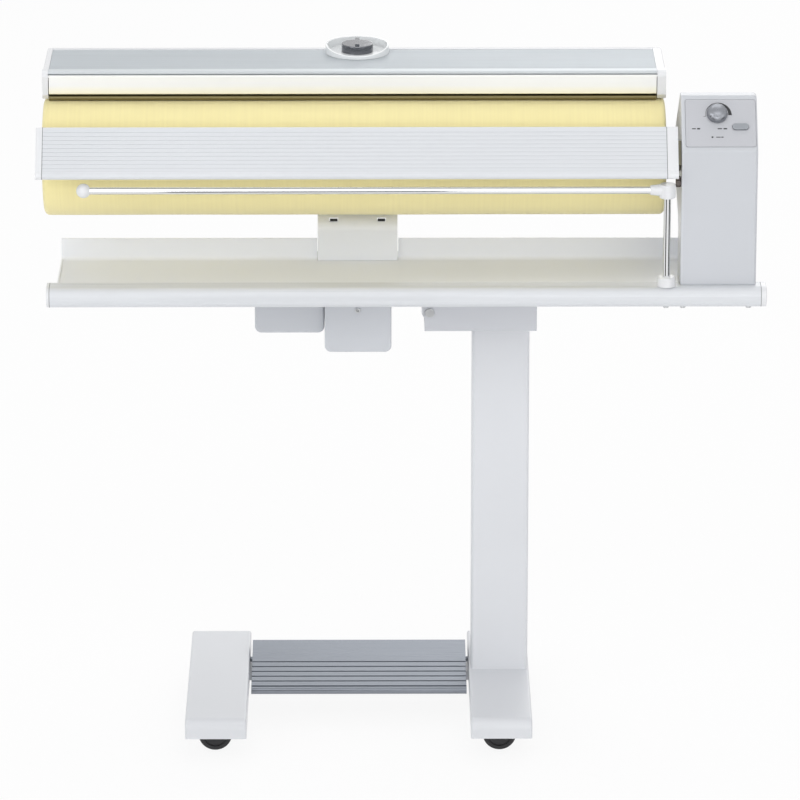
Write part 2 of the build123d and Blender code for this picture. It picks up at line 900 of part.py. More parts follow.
tray_left = roller_left + tray_inset
tray_right = box_right + 2.0
upstand_inner_y = tray_back_y - tray_sheet
with BuildPart() as tray:
    with BuildSketch(Plane.YZ.offset(tray_left)):
        with BuildLine() as tray_line:
            Polyline(
                (rail_back_y + seat_gap, tray_floor_z),
                (upstand_inner_y, tray_floor_z),
                (upstand_inner_y, tray_floor_z + upstand_height),
            )
            fillet(tray_line.vertices().group_by(Axis.X)[-1].sort_by(Axis.Y)[0], upstand_fold)
            offset(amount=tray_sheet, side=Side.RIGHT)
        make_face()
    extrude(amount=tray_right - tray_left)
    notch_half = support_width / 2 + part_gap
    span_box(
        support_x - notch_half,
        support_x + notch_half,
        upstand_inner_y - upstand_fold,
        tray_back_y + 1,
        beam_top - 1,
        tray_floor_z + upstand_height + 1,
        Mode.SUBTRACT,
    )
    span_box(
        tray_left,
        tray_left + tray_sheet,
        rail_back_y + seat_gap,
        upstand_inner_y - upstand_fold,
        tray_floor_z,
        tray_floor_z + 3,
    )
keep(tray, "tray")

front_rail_left = roller_left + rail_inset
front_rail_right = box_right + front_rail_overhang


def rail_face(inset):
    """Section of the front rail: round in front, square behind."""
    with BuildSketch(Plane.YZ) as section:
        with BuildLine():
            front = front_rail_y + inset
            back = rail_back_y - inset
            low = front_rail_bottom + inset
            high = front_rail_top - inset
            bend = front_rail_round - inset
            Line((back, low), (back, high))
            Line((back, high), (front + bend, high))
            RadiusArc((front + bend, high), (front, high - bend), -bend)
            Line((front, high - bend), (front, low + bend))
            RadiusArc((front, low + bend), (front + bend, low), -bend)
            Line((front + bend, low), (back, low))
        make_face()
    return section.sketch


rail_outer = rail_face(0)
rail_inner = rail_face(front_rail_wall)
with BuildPart() as front_rail:
    rail_start = front_rail_left + rail_cap_left
    rail_stop = front_rail_right - rail_cap_right
    extrude(Pos(rail_start, 0, 0) * rail_outer, amount=rail_stop - rail_start)
    extrude(Pos(rail_start - 1, 0, 0) * rail_inner, amount=rail_stop - rail_start + 2, mode=Mode.SUBTRACT)
    for x in rail_screw_x:
        low_z = front_rail_bottom
        rod_up(screw_radius + run_gap, x, post_y, low_z - 1, low_z + 2 * front_rail_wall, Mode.SUBTRACT)
    span_box(
        rail_start + front_rail_tongue,
        rail_stop - front_rail_tongue,
        rail_back_y,
        beam_front_y,
        beam_bottom,
        beam_top - part_gap,
    )
keep(front_rail, "front_rail")

# ================================================================ drive covers under the beam


def under_cover(left, width, front_y, height):
    """A drawn cover, open at the top, with rounded lower corners."""
    with BuildPart() as cover:
        span_box(left, left + width, front_y, beam_back_y, beam_bottom - height, beam_bottom)
        fillet(cover.edges().filter_by(Axis.Y).group_by(Axis.Z)[0], cover_corner)
        front_edges = cover.faces().sort_by(Axis.Y)[0].edges()
        fillet([edge for edge in front_edges if edge.center().Z < beam_bottom - 1], under_cover_edge)
        offset(amount=-under_cover_wall, openings=cover.faces().sort_by(Axis.Z)[-1])
    return cover


motor_cover = under_cover(motor_cover_left, motor_cover_width, motor_cover_front_y, motor_cover_height)
with BuildPart() as press_motor_cover:
    add(motor_cover.part)
    hole_left = motor_cover_right - 2 * under_cover_wall
    rod_x(crank_disc_radius, hole_left, motor_cover_right + 1, link_y, crank_z, Mode.SUBTRACT)
keep(press_motor_cover, "press_motor_cover")

gear_cover = under_cover(gear_cover_left, gear_cover_width, gear_cover_front_y, gear_cover_height)
with BuildPart() as press_gear_cover:
    add(gear_cover.part)
    hole_right = gear_cover_left + 2 * under_cover_wall
    rod_x(crank_disc_radius, gear_cover_left - 1, hole_right, link_y, crank_z, Mode.SUBTRACT)
    hole_back = gear_cover_front_y + 2 * under_cover_wall
    rod_y(screw_radius + run_gap, support_x, gear_cover_front_y - 1, hole_back, screw_z, Mode.SUBTRACT)
keep(press_gear_cover, "press_gear_cover")

with BuildPart() as press_motor:
    motor_start = motor_cover_left + press_motor_inset
    motor_end = motor_cover_right - 1.5 * press_motor_inset
    rod_x(press_motor_radius, motor_start, motor_end, link_y, crank_z)
    fillet(press_motor.edges().filter_by(GeomType.CIRCLE), 2)
    rod_x(crank_disc_radius - 2, motor_end, crank_disc_x - press_motor_inset, link_y, crank_z)
    span_box(
        motor_start + 1.5 * press_motor_inset,
        motor_end - press_motor_inset,
        link_y - press_motor_radius + 4,
        link_y + press_motor_radius - 4,
        crank_z + press_motor_radius - 6,
        beam_bottom,
    )
    rod_x(press_shaft_radius, motor_end - 6, crank_disc_x + crank_disc_depth - 1, link_y, crank_z)
keep(press_motor, "press_motor")

# The crank stands 45 degrees below level when the shoe is down.
crank_start = radians(-45)
crank_pin_y = link_y + crank_radius * cos(crank_start)
crank_pin_z = crank_z + crank_radius * sin(crank_start)
with BuildPart() as press_crank:
    rod_x(crank_disc_radius, crank_disc_x, crank_disc_x + crank_disc_depth, link_y, crank_z)
    rod_x(
        crank_pin_radius,
        crank_disc_x + crank_disc_depth,
        crank_disc_x + crank_disc_depth + crank_pin_length,
        crank_pin_y,
        crank_pin_z,
    )
    rod_x(
        press_shaft_radius + run_gap,
        crank_disc_x - 1,
        crank_disc_x + crank_disc_depth - 1 + run_gap,
        link_y,
        crank_z,
        Mode.SUBTRACT,
    )
keep(press_crank, "press_crank")

# ================================================================ shoe support and press link
link_fork_low_z = lever_z - link_fork_drop
link_fork_high_z = lever_z + link_fork_rise
with BuildPart() as press_link:
    head_low = crank_pin_z - link_head_low
    head_high = crank_pin_z + link_head_high
    span_box(
        link_head_x,
        link_head_x + link_head_depth,
        link_y - link_head_half,
        link_y + link_head_half,
        head_low,
        head_high,
    )
    span_box(
        link_head_x - 1,
        link_head_x + link_head_depth + 1,
        link_y - crank_radius - crank_pin_radius - slot_play - 1,
        link_y + crank_radius + crank_pin_radius + slot_play + 1,
        crank_pin_z - crank_pin_radius - slot_play,
        crank_pin_z + crank_pin_radius + slot_play,
        Mode.SUBTRACT,
    )
    rod_up(link_radius, link_x, link_y, head_high - 1, link_fork_low_z + 4)
    fork_front = link_y - link_fork_half
    fork_back = link_y + link_fork_half
    fork_left = link_x - link_fork_half
    fork_right = link_x + link_fork_half
    for leg_x in (fork_left, fork_right - link_fork_sheet):
        span_box(leg_x, leg_x + link_fork_sheet, fork_front, fork_back, link_fork_low_z, link_fork_high_z)
    span_box(fork_left, fork_right, fork_front, fork_back, link_fork_low_z, link_fork_low_z + 5)
    rod_x(lever_pin_radius + slot_play, fork_left - 1, fork_right + 1, lever_y, lever_z, Mode.SUBTRACT)
keep(press_link, "press_link")

support_foot_z = tray_floor_z + seat_gap
with BuildPart() as support_bracket:
    support_left = support_x - support_width / 2
    support_right = support_x + support_width / 2
    for cheek_x in (support_left, support_right - support_sheet):
        with BuildSketch(Plane.YZ.offset(cheek_x)):
            with BuildLine():
                Line((support_front_y, support_foot_z), (support_front_y, support_top_z - support_round))
                RadiusArc(
                    (support_front_y, support_top_z - support_round),
                    (support_front_y + support_round, support_top_z),
                    support_round,
                )
                Polyline(
                    (support_front_y + support_round, support_top_z),
                    (shoe_pivot_y - 20, support_top_z),
                    (shoe_pivot_y + support_eye_radius, shoe_pivot_z),
                    (shoe_pivot_y + support_eye_radius * 0.7, shoe_pivot_z - support_eye_radius * 0.7),
                    (beam_back_y, beam_top),
                    (tray_back_y + part_gap, beam_top),
                    (tray_back_y + part_gap, support_foot_z),
                    (support_front_y, support_foot_z),
                )
            make_face()
            with Locations((shoe_pivot_y, shoe_pivot_z)):
                Circle(support_eye_radius)
                Circle(shoe_pivot_radius + run_gap, mode=Mode.SUBTRACT)
        extrude(amount=support_sheet)
    with BuildSketch(Plane.YZ.offset(support_left)):
        with BuildLine():
            Line((support_front_y, support_foot_z), (support_front_y, support_top_z - support_round))
            RadiusArc(
                (support_front_y, support_top_z - support_round),
                (support_front_y + support_round, support_top_z),
                support_round,
            )
            Line((support_front_y + support_round, support_top_z), (support_plate_back_y, support_top_z))
            offset(amount=support_sheet, side=Side.RIGHT)
        make_face()
    extrude(amount=support_width)
    base_top_z = beam_top + support_sheet
    span_box(support_left, support_right, tray_back_y + part_gap, beam_back_y, beam_top, base_top_z)
    rod_up(link_radius + 2 * part_gap, link_x, link_y, beam_top - 1, base_top_z + 1, Mode.SUBTRACT)
    for side in (-1, 1):
        slot_x = support_x + side * support_slot_spacing / 2
        span_box(
            slot_x - support_slot_width / 2,
            slot_x + support_slot_width / 2,
            support_front_y - 1,
            support_front_y + support_round * 0.62,
            support_top_z - support_round * 0.46,
            support_top_z - support_round * 0.3,
            Mode.SUBTRACT,
        )
keep(support_bracket, "support_bracket")

with BuildPart() as shoe_pivot_pin:
    rod_x(shoe_pivot_radius, support_left - seat_gap, support_right + seat_gap, shoe_pivot_y, shoe_pivot_z)
    for head_x in (support_left - seat_gap - pivot_head_depth, support_right + seat_gap):
        rod_x(shoe_pivot_radius + 3, head_x, head_x + pivot_head_depth, shoe_pivot_y, shoe_pivot_z)
keep(shoe_pivot_pin, "shoe_pivot_pin")

# ================================================================ roller
roller_inner_left = roller_left + end_inset
roller_inner_right = roller_right - end_inset
with BuildPart() as roller_tube:
    rod_x(tube_radius - seat_gap, roller_inner_left, roller_inner_right, roller_y, roller_z)
    rod_x(
        tube_radius - seat_gap - roller_wall,
        roller_inner_left - 1,
        roller_inner_right + 1,
        roller_y,
        roller_z,
        Mode.SUBTRACT,
    )
keep(roller_tube, "roller_tube")

with BuildPart() as roller_padding:
    rod_x(roller_radius, roller_left, roller_right, roller_y, roller_z)
    fillet(roller_padding.edges().filter_by(GeomType.CIRCLE), padding_corner)
    rod_x(tube_radius, roller_left - 1, roller_right + 1, roller_y, roller_z, Mode.SUBTRACT)
keep(roller_padding, "roller_padding")

plate_radius = tube_radius - 2 * seat_gap - roller_wall
drive_hub_right = gear_x + gear_width + gear_hub_past
with BuildPart() as roller_ends:
    rod_x(plate_radius, roller_inner_left, roller_inner_left + end_plate_depth, roller_y, roller_z)
    rod_x(hub_radius, roller_inner_left, roller_inner_left + hub_length, roller_y, roller_z)
    rod_x(plate_radius, roller_inner_right - end_plate_depth, roller_inner_right, roller_y, roller_z)
    rod_x(hub_radius, roller_inner_right - hub_length, drive_hub_right, roller_y, roller_z)
    hub_bore = axle_radius + run_gap
    rod_x(hub_bore, roller_inner_left - 1, drive_hub_right + 1, roller_y, roller_z, Mode.SUBTRACT)
keep(roller_ends, "roller_ends")


def gear_face(teeth, module, turn=0.0):
    """A spur gear's outline with straight-flanked teeth and working play."""
    pitch_radius = teeth * module / 2
    tip_radius = pitch_radius + 0.85 * module
    root_radius = pitch_radius - 1.1 * module
    step = 360 / teeth
    tip_half = 0.13 * step
    root_half = 0.34 * step
    with BuildSketch() as gear:
        Circle(root_radius)
        for tooth in range(teeth):
            middle = turn + tooth * step
            with BuildLine():
                Polyline(
                    Vector(root_radius - 1, 0).rotate(Axis.Z, middle - root_half),
                    Vector(root_radius, 0).rotate(Axis.Z, middle - root_half),
                    Vector(tip_radius, 0).rotate(Axis.Z, middle - tip_half),
                    Vector(tip_radius, 0).rotate(Axis.Z, middle + tip_half),
                    Vector(root_radius, 0).rotate(Axis.Z, middle + root_half),
                    Vector(root_radius - 1, 0).rotate(Axis.Z, middle + root_half),
                    close=True,
                )
            make_face()
    return gear.sketch


gear_plane = Plane.YZ.offset(gear_x)
gear_distance = (gear_teeth + pinion_teeth) * gear_module / 2 + gear_play
pinion_y = roller_y + gear_distance * cos(radians(pinion_direction))
pinion_z = roller_z + gear_distance * sin(radians(pinion_direction))
with BuildPart() as roller_gear:
    tooth_gap_turn = pinion_direction + 180 / gear_teeth
    extrude(
        gear_plane.location * Pos(roller_y, roller_z, 0) * gear_face(gear_teeth, gear_module, tooth_gap_turn),
        amount=gear_width,
    )
    rod_x(hub_radius + 0.02, gear_x - 1, gear_x + gear_width + 1, roller_y, roller_z, Mode.SUBTRACT)
keep(roller_gear, "roller_gear")

with BuildPart() as drive_pinion:
    pinion_outline = gear_face(pinion_teeth, gear_module, pinion_direction + 180)
    extrude(gear_plane.location * Pos(pinion_y, pinion_z, 0) * pinion_outline, amount=gear_width)
    rod_x(pinion_bore + run_gap, gear_x - 1, gear_x + gear_width + 1, pinion_y, pinion_z, Mode.SUBTRACT)
keep(drive_pinion, "drive_pinion")

# ================================================================ axle and drive inside the control box
with BuildPart() as roller_axle:
    axle_left = roller_left - board_overhang + board_arm_sheet
    axle_right = drive_frame_x + drive_frame_sheet + axle_past_frame
    rod_x(axle_radius, axle_left, axle_right, roller_y, roller_z)
    rod_x(axle_radius - axle_wall, axle_left - 1, axle_right + 1, roller_y, roller_z, Mode.SUBTRACT)
keep(roller_axle, "roller_axle")

frame_back_x = drive_frame_x + drive_frame_sheet
frame_front_y = rail_back_y + part_gap
frame_back_y = box_back_y - drive_frame_inset
frame_foot_z = tray_floor_z + seat_gap
frame_boss_x = frame_back_x + frame_boss_length
with BuildPart() as drive_frame:
    with BuildSketch(Plane.YZ.offset(drive_frame_x)):
        with BuildLine():
            Polyline(
                (frame_back_y, frame_foot_z),
                (frame_back_y, roller_z - drive_frame_waist),
                *[(roller_y + y, roller_z + z) for y, z in drive_frame_crown],
                (frame_front_y, roller_z + drive_frame_shoulder),
                (frame_front_y, frame_foot_z),
                close=True,
            )
        make_face()
    extrude(amount=drive_frame_sheet)
    span_box(
        frame_back_x - 1,
        frame_back_x + drive_frame_foot,
        frame_front_y,
        frame_back_y,
        frame_foot_z,
        tray_floor_z + drive_frame_sheet,
    )
    rod_x(axle_radius + frame_boss_wall, frame_back_x - 1, frame_boss_x, roller_y, roller_z)
    rod_x(axle_radius + 0.02, drive_frame_x - 1, frame_boss_x + 1, roller_y, roller_z, Mode.SUBTRACT)
    pinion_window = pinion_bore + frame_pinion_gap
    rod_x(pinion_window, drive_frame_x - 1, frame_back_x + 1, pinion_y, pinion_z, Mode.SUBTRACT)
keep(drive_frame, "drive_frame")

with BuildPart() as gear_motor:
    motor_start = frame_back_x + gearbox_depth
    motor_stop = motor_start + motor_length
    rod_x(motor_radius, motor_start, motor_stop, pinion_y - motor_shift, pinion_z - motor_shift)
    fillet(gear_motor.edges().filter_by(GeomType.CIRCLE), motor_edge)
    span_box(
        frame_back_x,
        motor_start + 1,
        pinion_y - gearbox_front,
        pinion_y + gearbox_back,
        pinion_z - gearbox_low,
        pinion_z + gearbox_high,
    )
    rod_x(pinion_bore, gear_x, frame_back_x + 1, pinion_y, pinion_z)
keep(gear_motor, "gear_motor")

# ================================================================ heated shoe
shoe_inner_radius = roller_radius + shoe_gap
shoe_outer_radius = shoe_inner_radius + shoe_plate_depth
cover_left = roller_left - 1.0
cover_right = roller_right + 1.0
cap_inner_left = cover_left + cover_cap_left
cap_inner_right = cover_right - cover_cap_right
shoe_left = cap_inner_left + part_gap
shoe_right = cap_inner_right - part_gap
shoe_sweep = shoe_back_angle - shoe_front_angle


def around_roller(radius, angle):
    """A point at an angle from straight up, turning towards the back."""
    return (roller_y + radius * sin(radians(angle)), roller_z + radius * cos(radians(angle)))


with BuildPart() as shoe_plate:
    with BuildSketch(Plane.YZ.offset(shoe_left)):
        with BuildLine():
            CenterArc((roller_y, roller_z), shoe_inner_radius, 90 - shoe_back_angle, shoe_sweep)
            CenterArc((roller_y, roller_z), shoe_outer_radius, 90 - shoe_back_angle, shoe_sweep)
            for angle in (shoe_front_angle, shoe_back_angle):
                Line(around_roller(shoe_inner_radius, angle), around_roller(shoe_outer_radius, angle))
        make_face()
    extrude(amount=shoe_right - shoe_left)
    fillet(shoe_plate.edges().filter_by(Axis.X), shoe_plate_depth / 2 - 0.6)
keep(shoe_plate, "shoe_plate")

with BuildPart() as heating_elements:
    heater_reach = shoe_outer_radius + heater_radius + seat_gap
    for angle in heater_angles:
        y, z = around_roller(heater_reach, angle)
        rod_x(heater_radius, shoe_left + heater_inset, shoe_right - heater_inset, y, z)
keep(heating_elements, "heating_elements")

carrier_left = support_x - carrier_width / 2
carrier_right = support_x + carrier_width / 2
carrier_front_y = roller_y + carrier_front_reach
carrier_beam_y = roller_y + carrier_beam_reach
carrier_beam_z = roller_z + carrier_beam_rise
carrier_beam_top = carrier_beam_z + carrier_beam_height
carrier_beam_back = carrier_beam_y + carrier_beam_depth
tank_top_z = cover_top_z - top_panel_depth - seat_gap
tank_low_z = tank_top_z - tank_height
cover_inner_y = cover_back_y - cover_sheet
with BuildPart() as shoe_carrier:
    for cheek_x in (carrier_left, carrier_right - carrier_wall):
        with BuildSketch(Plane.YZ.offset(cheek_x)):
            with BuildLine():
                Polyline(
                    (shoe_pivot_y - carrier_eye + 2, shoe_pivot_z),
                    (shoe_pivot_y + carrier_eye - 2, shoe_pivot_z),
                    (carrier_beam_back + carrier_knee_reach, roller_z - carrier_knee_drop),
                    (carrier_beam_back, carrier_beam_top),
                    (carrier_front_y, carrier_beam_top),
                    (carrier_front_y, roller_z - carrier_knee_drop + 6),
                    close=True,
                )
            make_face()
            with Locations((shoe_pivot_y, shoe_pivot_z)):
                Circle(carrier_eye)
        extrude(amount=carrier_wall)
    rod_x(carrier_eye, carrier_left, carrier_right, shoe_pivot_y, shoe_pivot_z)
    span_box(
        cap_inner_left + seat_gap,
        cap_inner_right - seat_gap,
        carrier_beam_y,
        carrier_beam_back,
        carrier_beam_z,
        carrier_beam_top,
    )
    for leg_x in (
        shoe_left + carrier_leg_inset,
        support_x - carrier_leg_spacing,
        support_x + carrier_leg_spacing,
        shoe_right - carrier_leg_inset,
    ):
        span_box(
            leg_x - carrier_leg_half,
            leg_x + carrier_leg_half,
            carrier_front_y,
            carrier_beam_y + 1,
            carrier_beam_z,
            carrier_beam_top,
        )
    for stay_x in (carrier_left, carrier_right - carrier_wall):
        span_box(
            stay_x,
            stay_x + carrier_wall,
            carrier_beam_y + tank_stay_inset,
            carrier_beam_back - 2 * tank_stay_inset,
            carrier_beam_top - 1,
            tank_low_z - seat_gap,
        )
        span_box(
            stay_x,
            stay_x + carrier_wall,
            carrier_beam_back - 1,
            cover_inner_y - seat_gap,
            carrier_beam_z,
            carrier_beam_top - 2 * tank_stay_inset,
        )
    span_box(
        carrier_left + 1,
        carrier_right - 1,
        carrier_beam_y,
        carrier_beam_y + carrier_web,
        shoe_pivot_z + 4 * carrier_web,
        carrier_beam_z + 1,
    )
    with BuildSketch(Plane.YZ.offset(link_x - lever_half)):
        with Locations((lever_y, lever_z)):
            Circle(lever_end_radius)
        with Locations((shoe_pivot_y, shoe_pivot_z)):
            Circle(carrier_eye - 2)
        make_hull()
    extrude(amount=2 * lever_half)
    rod_x(lever_pin_radius, link_x - link_fork_half, link_x + link_fork_half, lever_y, lever_z)
    rod_x(shoe_outer_radius + run_gap, shoe_left, shoe_right, roller_y, roller_z, Mode.SUBTRACT)
    pivot_bore = shoe_pivot_radius + run_gap
    rod_x(pivot_bore, carrier_left - 1, carrier_right + 1, shoe_pivot_y, shoe_pivot_z, Mode.SUBTRACT)
keep(shoe_carrier, "shoe_carrier")

# ================================================================ cover over the shoe
guard_hinge_y = cover_front_y + guard_depth / 2
guard_hinge_z = cover_top_z - guard_hinge_drop
slope_at_foot = (cover_foot_z - cover_lip_back_z) / (cover_foot_y - cover_lip_back_y)


def under_slope(y):
    """Height of the cover's underside at a depth."""
    return cover_foot_z + (y - cover_foot_y) * slope_at_foot


def cover_back_line():
    """The cover's outer line from the back of its top down to its foot."""
    CenterArc((cover_turn_y, cover_turn_z), cover_round, 90, -90)
    Line((cover_back_y, cover_turn_z), (cover_back_y, cover_low_z))
    RadiusArc((cover_back_y, cover_low_z), (cover_foot_y, cover_foot_z), cover_foot_round)


with BuildPart() as cover_end_caps:
    cap_opening = roller_radius + cover_opening_gap
    cap_low = around_roller(cap_opening, opening_back_angle)
    cap_front = around_roller(cap_opening, -opening_front_angle)
    cap_sweep = opening_back_angle + opening_front_angle
    nose_low = (cover_front_y, cover_top_z - cap_nose_drop)
    nose_high = (cover_front_y + cap_nose_run, lip_top_z)
    for cap_x, cap_width in ((cover_left, cover_cap_left), (cap_inner_right, cover_cap_right)):
        with BuildSketch(Plane.YZ.offset(cap_x)):
            with BuildLine():
                cover_back_line()
                Line((cover_foot_y, cover_foot_z), cap_low)
                CenterArc((roller_y, roller_z), cap_opening, 90 - opening_back_angle, cap_sweep)
                Polyline(
                    cap_front,
                    (cover_front_y, cover_front_z - 1),
                    nose_low,
                )
                RadiusArc(nose_low, nose_high, cap_nose_round)
                Line(nose_high, (lip_back_y, lip_top_z))
                Line((lip_back_y, lip_top_z), (lip_back_y + lip_run, cover_top_z))
                Line((lip_back_y + lip_run, cover_top_z), (cover_turn_y, cover_top_z))
            make_face()
        extrude(amount=cap_width)
    outer_faces = [cover_end_caps.faces().sort_by(Axis.X)[0], cover_end_caps.faces().sort_by(Axis.X)[-1]]
    fillet(
        [
            edge
            for face in outer_faces
            for edge in face.edges()
            if edge.center().Z > cover_front_z + 2 and edge.center().Y > lip_back_y + lip_run
        ],
        cover_cap_edge,
    )
    rod_x(
        guard_pin_radius + run_gap,
        cap_inner_left - guard_pin_reach - 1,
        cap_inner_right + guard_pin_reach + 1,
        guard_hinge_y,
        guard_hinge_z,
        Mode.SUBTRACT,
    )
keep(cover_end_caps, "cover_end_caps")

window_left = carrier_left - window_margin
window_right = carrier_right + window_margin
with BuildPart() as cover_back:
    with BuildSketch(Plane.YZ.offset(cap_inner_left + seat_gap)):
        with BuildLine():
            cover_back_line()
            Line((cover_foot_y, cover_foot_z), (cover_low_end_y, under_slope(cover_low_end_y)))
            offset(amount=cover_sheet, side=Side.RIGHT)
        make_face()
    extrude(amount=cap_inner_right - cap_inner_left - 2 * seat_gap)
    span_box(
        window_left,
        window_right,
        cover_low_end_y - 1,
        carrier_beam_back + carrier_knee_reach + window_clear,
        cover_foot_z - 1,
        cover_lip_back_z + 2 * window_margin,
        Mode.SUBTRACT,
    )
keep(cover_back, "cover_back")

with BuildPart() as cover_top:
    top_left = cap_inner_left + seat_gap
    top_back_y = cover_turn_y - seat_gap
    panel_front_y = lip_front_y + guard_depth
    panel_top_z = cover_top_z - top_rib_height
    with BuildSketch(Plane.YZ.offset(top_left)):
        with BuildLine():
            Polyline(
                (panel_front_y, cover_top_z - top_panel_depth),
                (top_back_y, cover_top_z - top_panel_depth),
                (top_back_y, panel_top_z),
                (lip_back_y, panel_top_z),
                (lip_back_y, lip_top_z - lip_edge),
                (lip_back_y - lip_edge, lip_top_z),
                (lip_front_y + lip_edge, lip_top_z),
                (lip_front_y, lip_top_z - lip_edge),
                (lip_front_y, cover_top_z - 1),
                (panel_front_y, cover_top_z - 1),
                close=True,
            )
        make_face()
        rib_y = lip_back_y + top_rib_pitch
        while rib_y < top_back_y - top_rib_pitch / 2:
            with Locations((rib_y, panel_top_z)):
                Rectangle(top_rib_pitch / 2, 2 * top_rib_height)
            rib_y += top_rib_pitch
    extrude(amount=cap_inner_right - cap_inner_left - 2 * seat_gap)
    rod_up(neck_radius + seat_gap, filler_x, filler_y, cover_top_z - 10, cover_top_z + 5, Mode.SUBTRACT)
keep(cover_top, "cover_top")

with BuildPart() as finger_guard:
    guard_left = cap_inner_left + part_gap
    guard_right = cap_inner_right - part_gap
    span_box(
        guard_left, guard_right, cover_front_y, cover_front_y + guard_depth, cover_front_z, guard_hinge_z
    )
    fillet(finger_guard.edges().filter_by(Axis.X).group_by(Axis.Z)[0], 1.5)
    rod_x(guard_depth / 2, guard_left, guard_right, guard_hinge_y, guard_hinge_z)
    pin_reach = guard_pin_reach
    rod_x(guard_pin_radius, guard_left - pin_reach, guard_right + pin_reach, guard_hinge_y, guard_hinge_z)
keep(finger_guard, "finger_guard")

# ================================================================ water tank and its filler
tank_left = filler_x - tank_width / 2
tank_front_y = roller_y + tank_front_reach
tank_back_y = cover_turn_y + tank_back_reach
collar_top_z = cover_top_z + collar_height
with BuildPart() as water_tank:
    span_box(tank_left, tank_left + tank_width, tank_front_y, tank_back_y, tank_low_z, tank_top_z)
    fillet(water_tank.edges().filter_by(Axis.Z), tank_corner)
    rod_up(neck_radius, filler_x, filler_y, tank_top_z - 1, cover_top_z + 1)
    span_box(
        tank_left + tank_wall,
        tank_left + tank_width - tank_wall,
        tank_front_y + tank_wall,
        tank_back_y - tank_wall,
        tank_low_z + tank_wall,
        tank_top_z - tank_wall,
        Mode.SUBTRACT,
    )
    neck_low_z = tank_top_z - 2 * tank_wall
    rod_up(neck_radius - tank_wall, filler_x, filler_y, neck_low_z, cover_top_z + 2, Mode.SUBTRACT)
keep(water_tank, "water_tank")

with BuildPart() as filler_collar:
    collar_low_z = cover_top_z - collar_skirt
    dish_radius = collar_radius - collar_wall
    rod_up(collar_radius, filler_x, filler_y, collar_low_z, collar_top_z)
    rod_up(dish_radius, filler_x, filler_y, cover_top_z + collar_floor, collar_top_z + 1, Mode.SUBTRACT)
    with BuildSketch(Plane.YZ.offset(filler_x - collar_radius - 1)):
        with BuildLine():
            Polyline(
                (filler_y - collar_radius - 1, collar_top_z - collar_dip),
                (filler_y - 4, collar_top_z),
                (filler_y - 4, collar_top_z + 1),
                (filler_y - collar_radius - 1, collar_top_z + 1),
                close=True,
            )
        make_face()
    extrude(amount=2 * collar_radius + 2, mode=Mode.SUBTRACT)
    span_box(
        filler_x - collar_radius - 1,
        filler_x + collar_radius + 1,
        filler_y - collar_radius - 1,
        cover_turn_y,
        collar_low_z - 1,
        cover_top_z + seat_gap,
        Mode.SUBTRACT,
    )
    rod_x(
        cover_round + seat_gap,
        filler_x - collar_radius - 1,
        filler_x + collar_radius + 1,
        cover_turn_y,
        cover_turn_z,
        Mode.SUBTRACT,
    )
    rod_up(neck_radius + seat_gap, filler_x, filler_y, collar_low_z - 1, collar_top_z + 1, Mode.SUBTRACT)
keep(filler_collar, "filler_collar")

with BuildPart() as filler_cap:
    cap_low_z = cover_top_z + collar_floor + seat_gap
    rod_up(cap_radius, filler_x, filler_y, cap_low_z, cap_low_z + cap_height)
    fillet(filler_cap.edges().filter_by(GeomType.CIRCLE).group_by(Axis.Z)[-1], cap_edge)
    rod_up(neck_radius - tank_wall - run_gap, filler_x, filler_y, cover_top_z - 6, cap_low_z + 1)
    grip_top = cap_low_z + cap_height + cap_grip_height
    span_box(
        filler_x - cap_grip_width / 2,
        filler_x + cap_grip_width / 2,
        filler_y - cap_radius + cap_grip_width / 2,
        filler_y + cap_radius - cap_grip_width / 2,
        grip_top - cap_grip_height - 1,
        grip_top,
    )
keep(filler_cap, "filler_cap")

# ================================================================ feed board in front of the roller
board_length = sqrt(board_rise**2 + board_run**2)
board_left = roller_left - board_overhang
board_right = box_left - board_box_gap
board_x_dir = (0, board_run / board_length, board_rise / board_length)


def board_plane(x):
    """Section plane of the feed board: first along the slope upwards, then outwards."""
    return Plane(origin=(x, board_low_y, board_low_z), x_dir=board_x_dir, z_dir=(1, 0, 0))


def board_section(grooved):
    """The feed board's section, with its bead along the low edge."""
    with BuildSketch() as section:
        with Locations((board_length / 2, -board_plate / 2)):
            Rectangle(board_length, board_plate)
        with Locations((board_bead_radius - 1, -board_plate / 2 + 0.5)):
            Circle(board_bead_radius)
        if grooved:
            pitch = (board_length - 3 * board_bead_radius) / board_groove_count
            for groove in range(board_groove_count):
                with Locations((2.6 * board_bead_radius + groove * pitch, 0)):
                    Rectangle(board_groove_width, 2 * board_groove_depth, mode=Mode.SUBTRACT)
    return section.sketch


with BuildPart() as feed_board:
    panel_left = board_left + board_cap_left
    panel_right = board_right - board_cap_right
    extrude(board_plane(panel_left).location * board_section(True), amount=panel_right - panel_left)
keep(feed_board, "feed_board")


def board_point(up, behind):
    """A point at a distance up the board's slope and behind its face."""
    run = board_run / board_length
    rise = board_rise / board_length
    return (board_low_y + up * run + behind * rise, board_low_z + up * rise - behind * run)


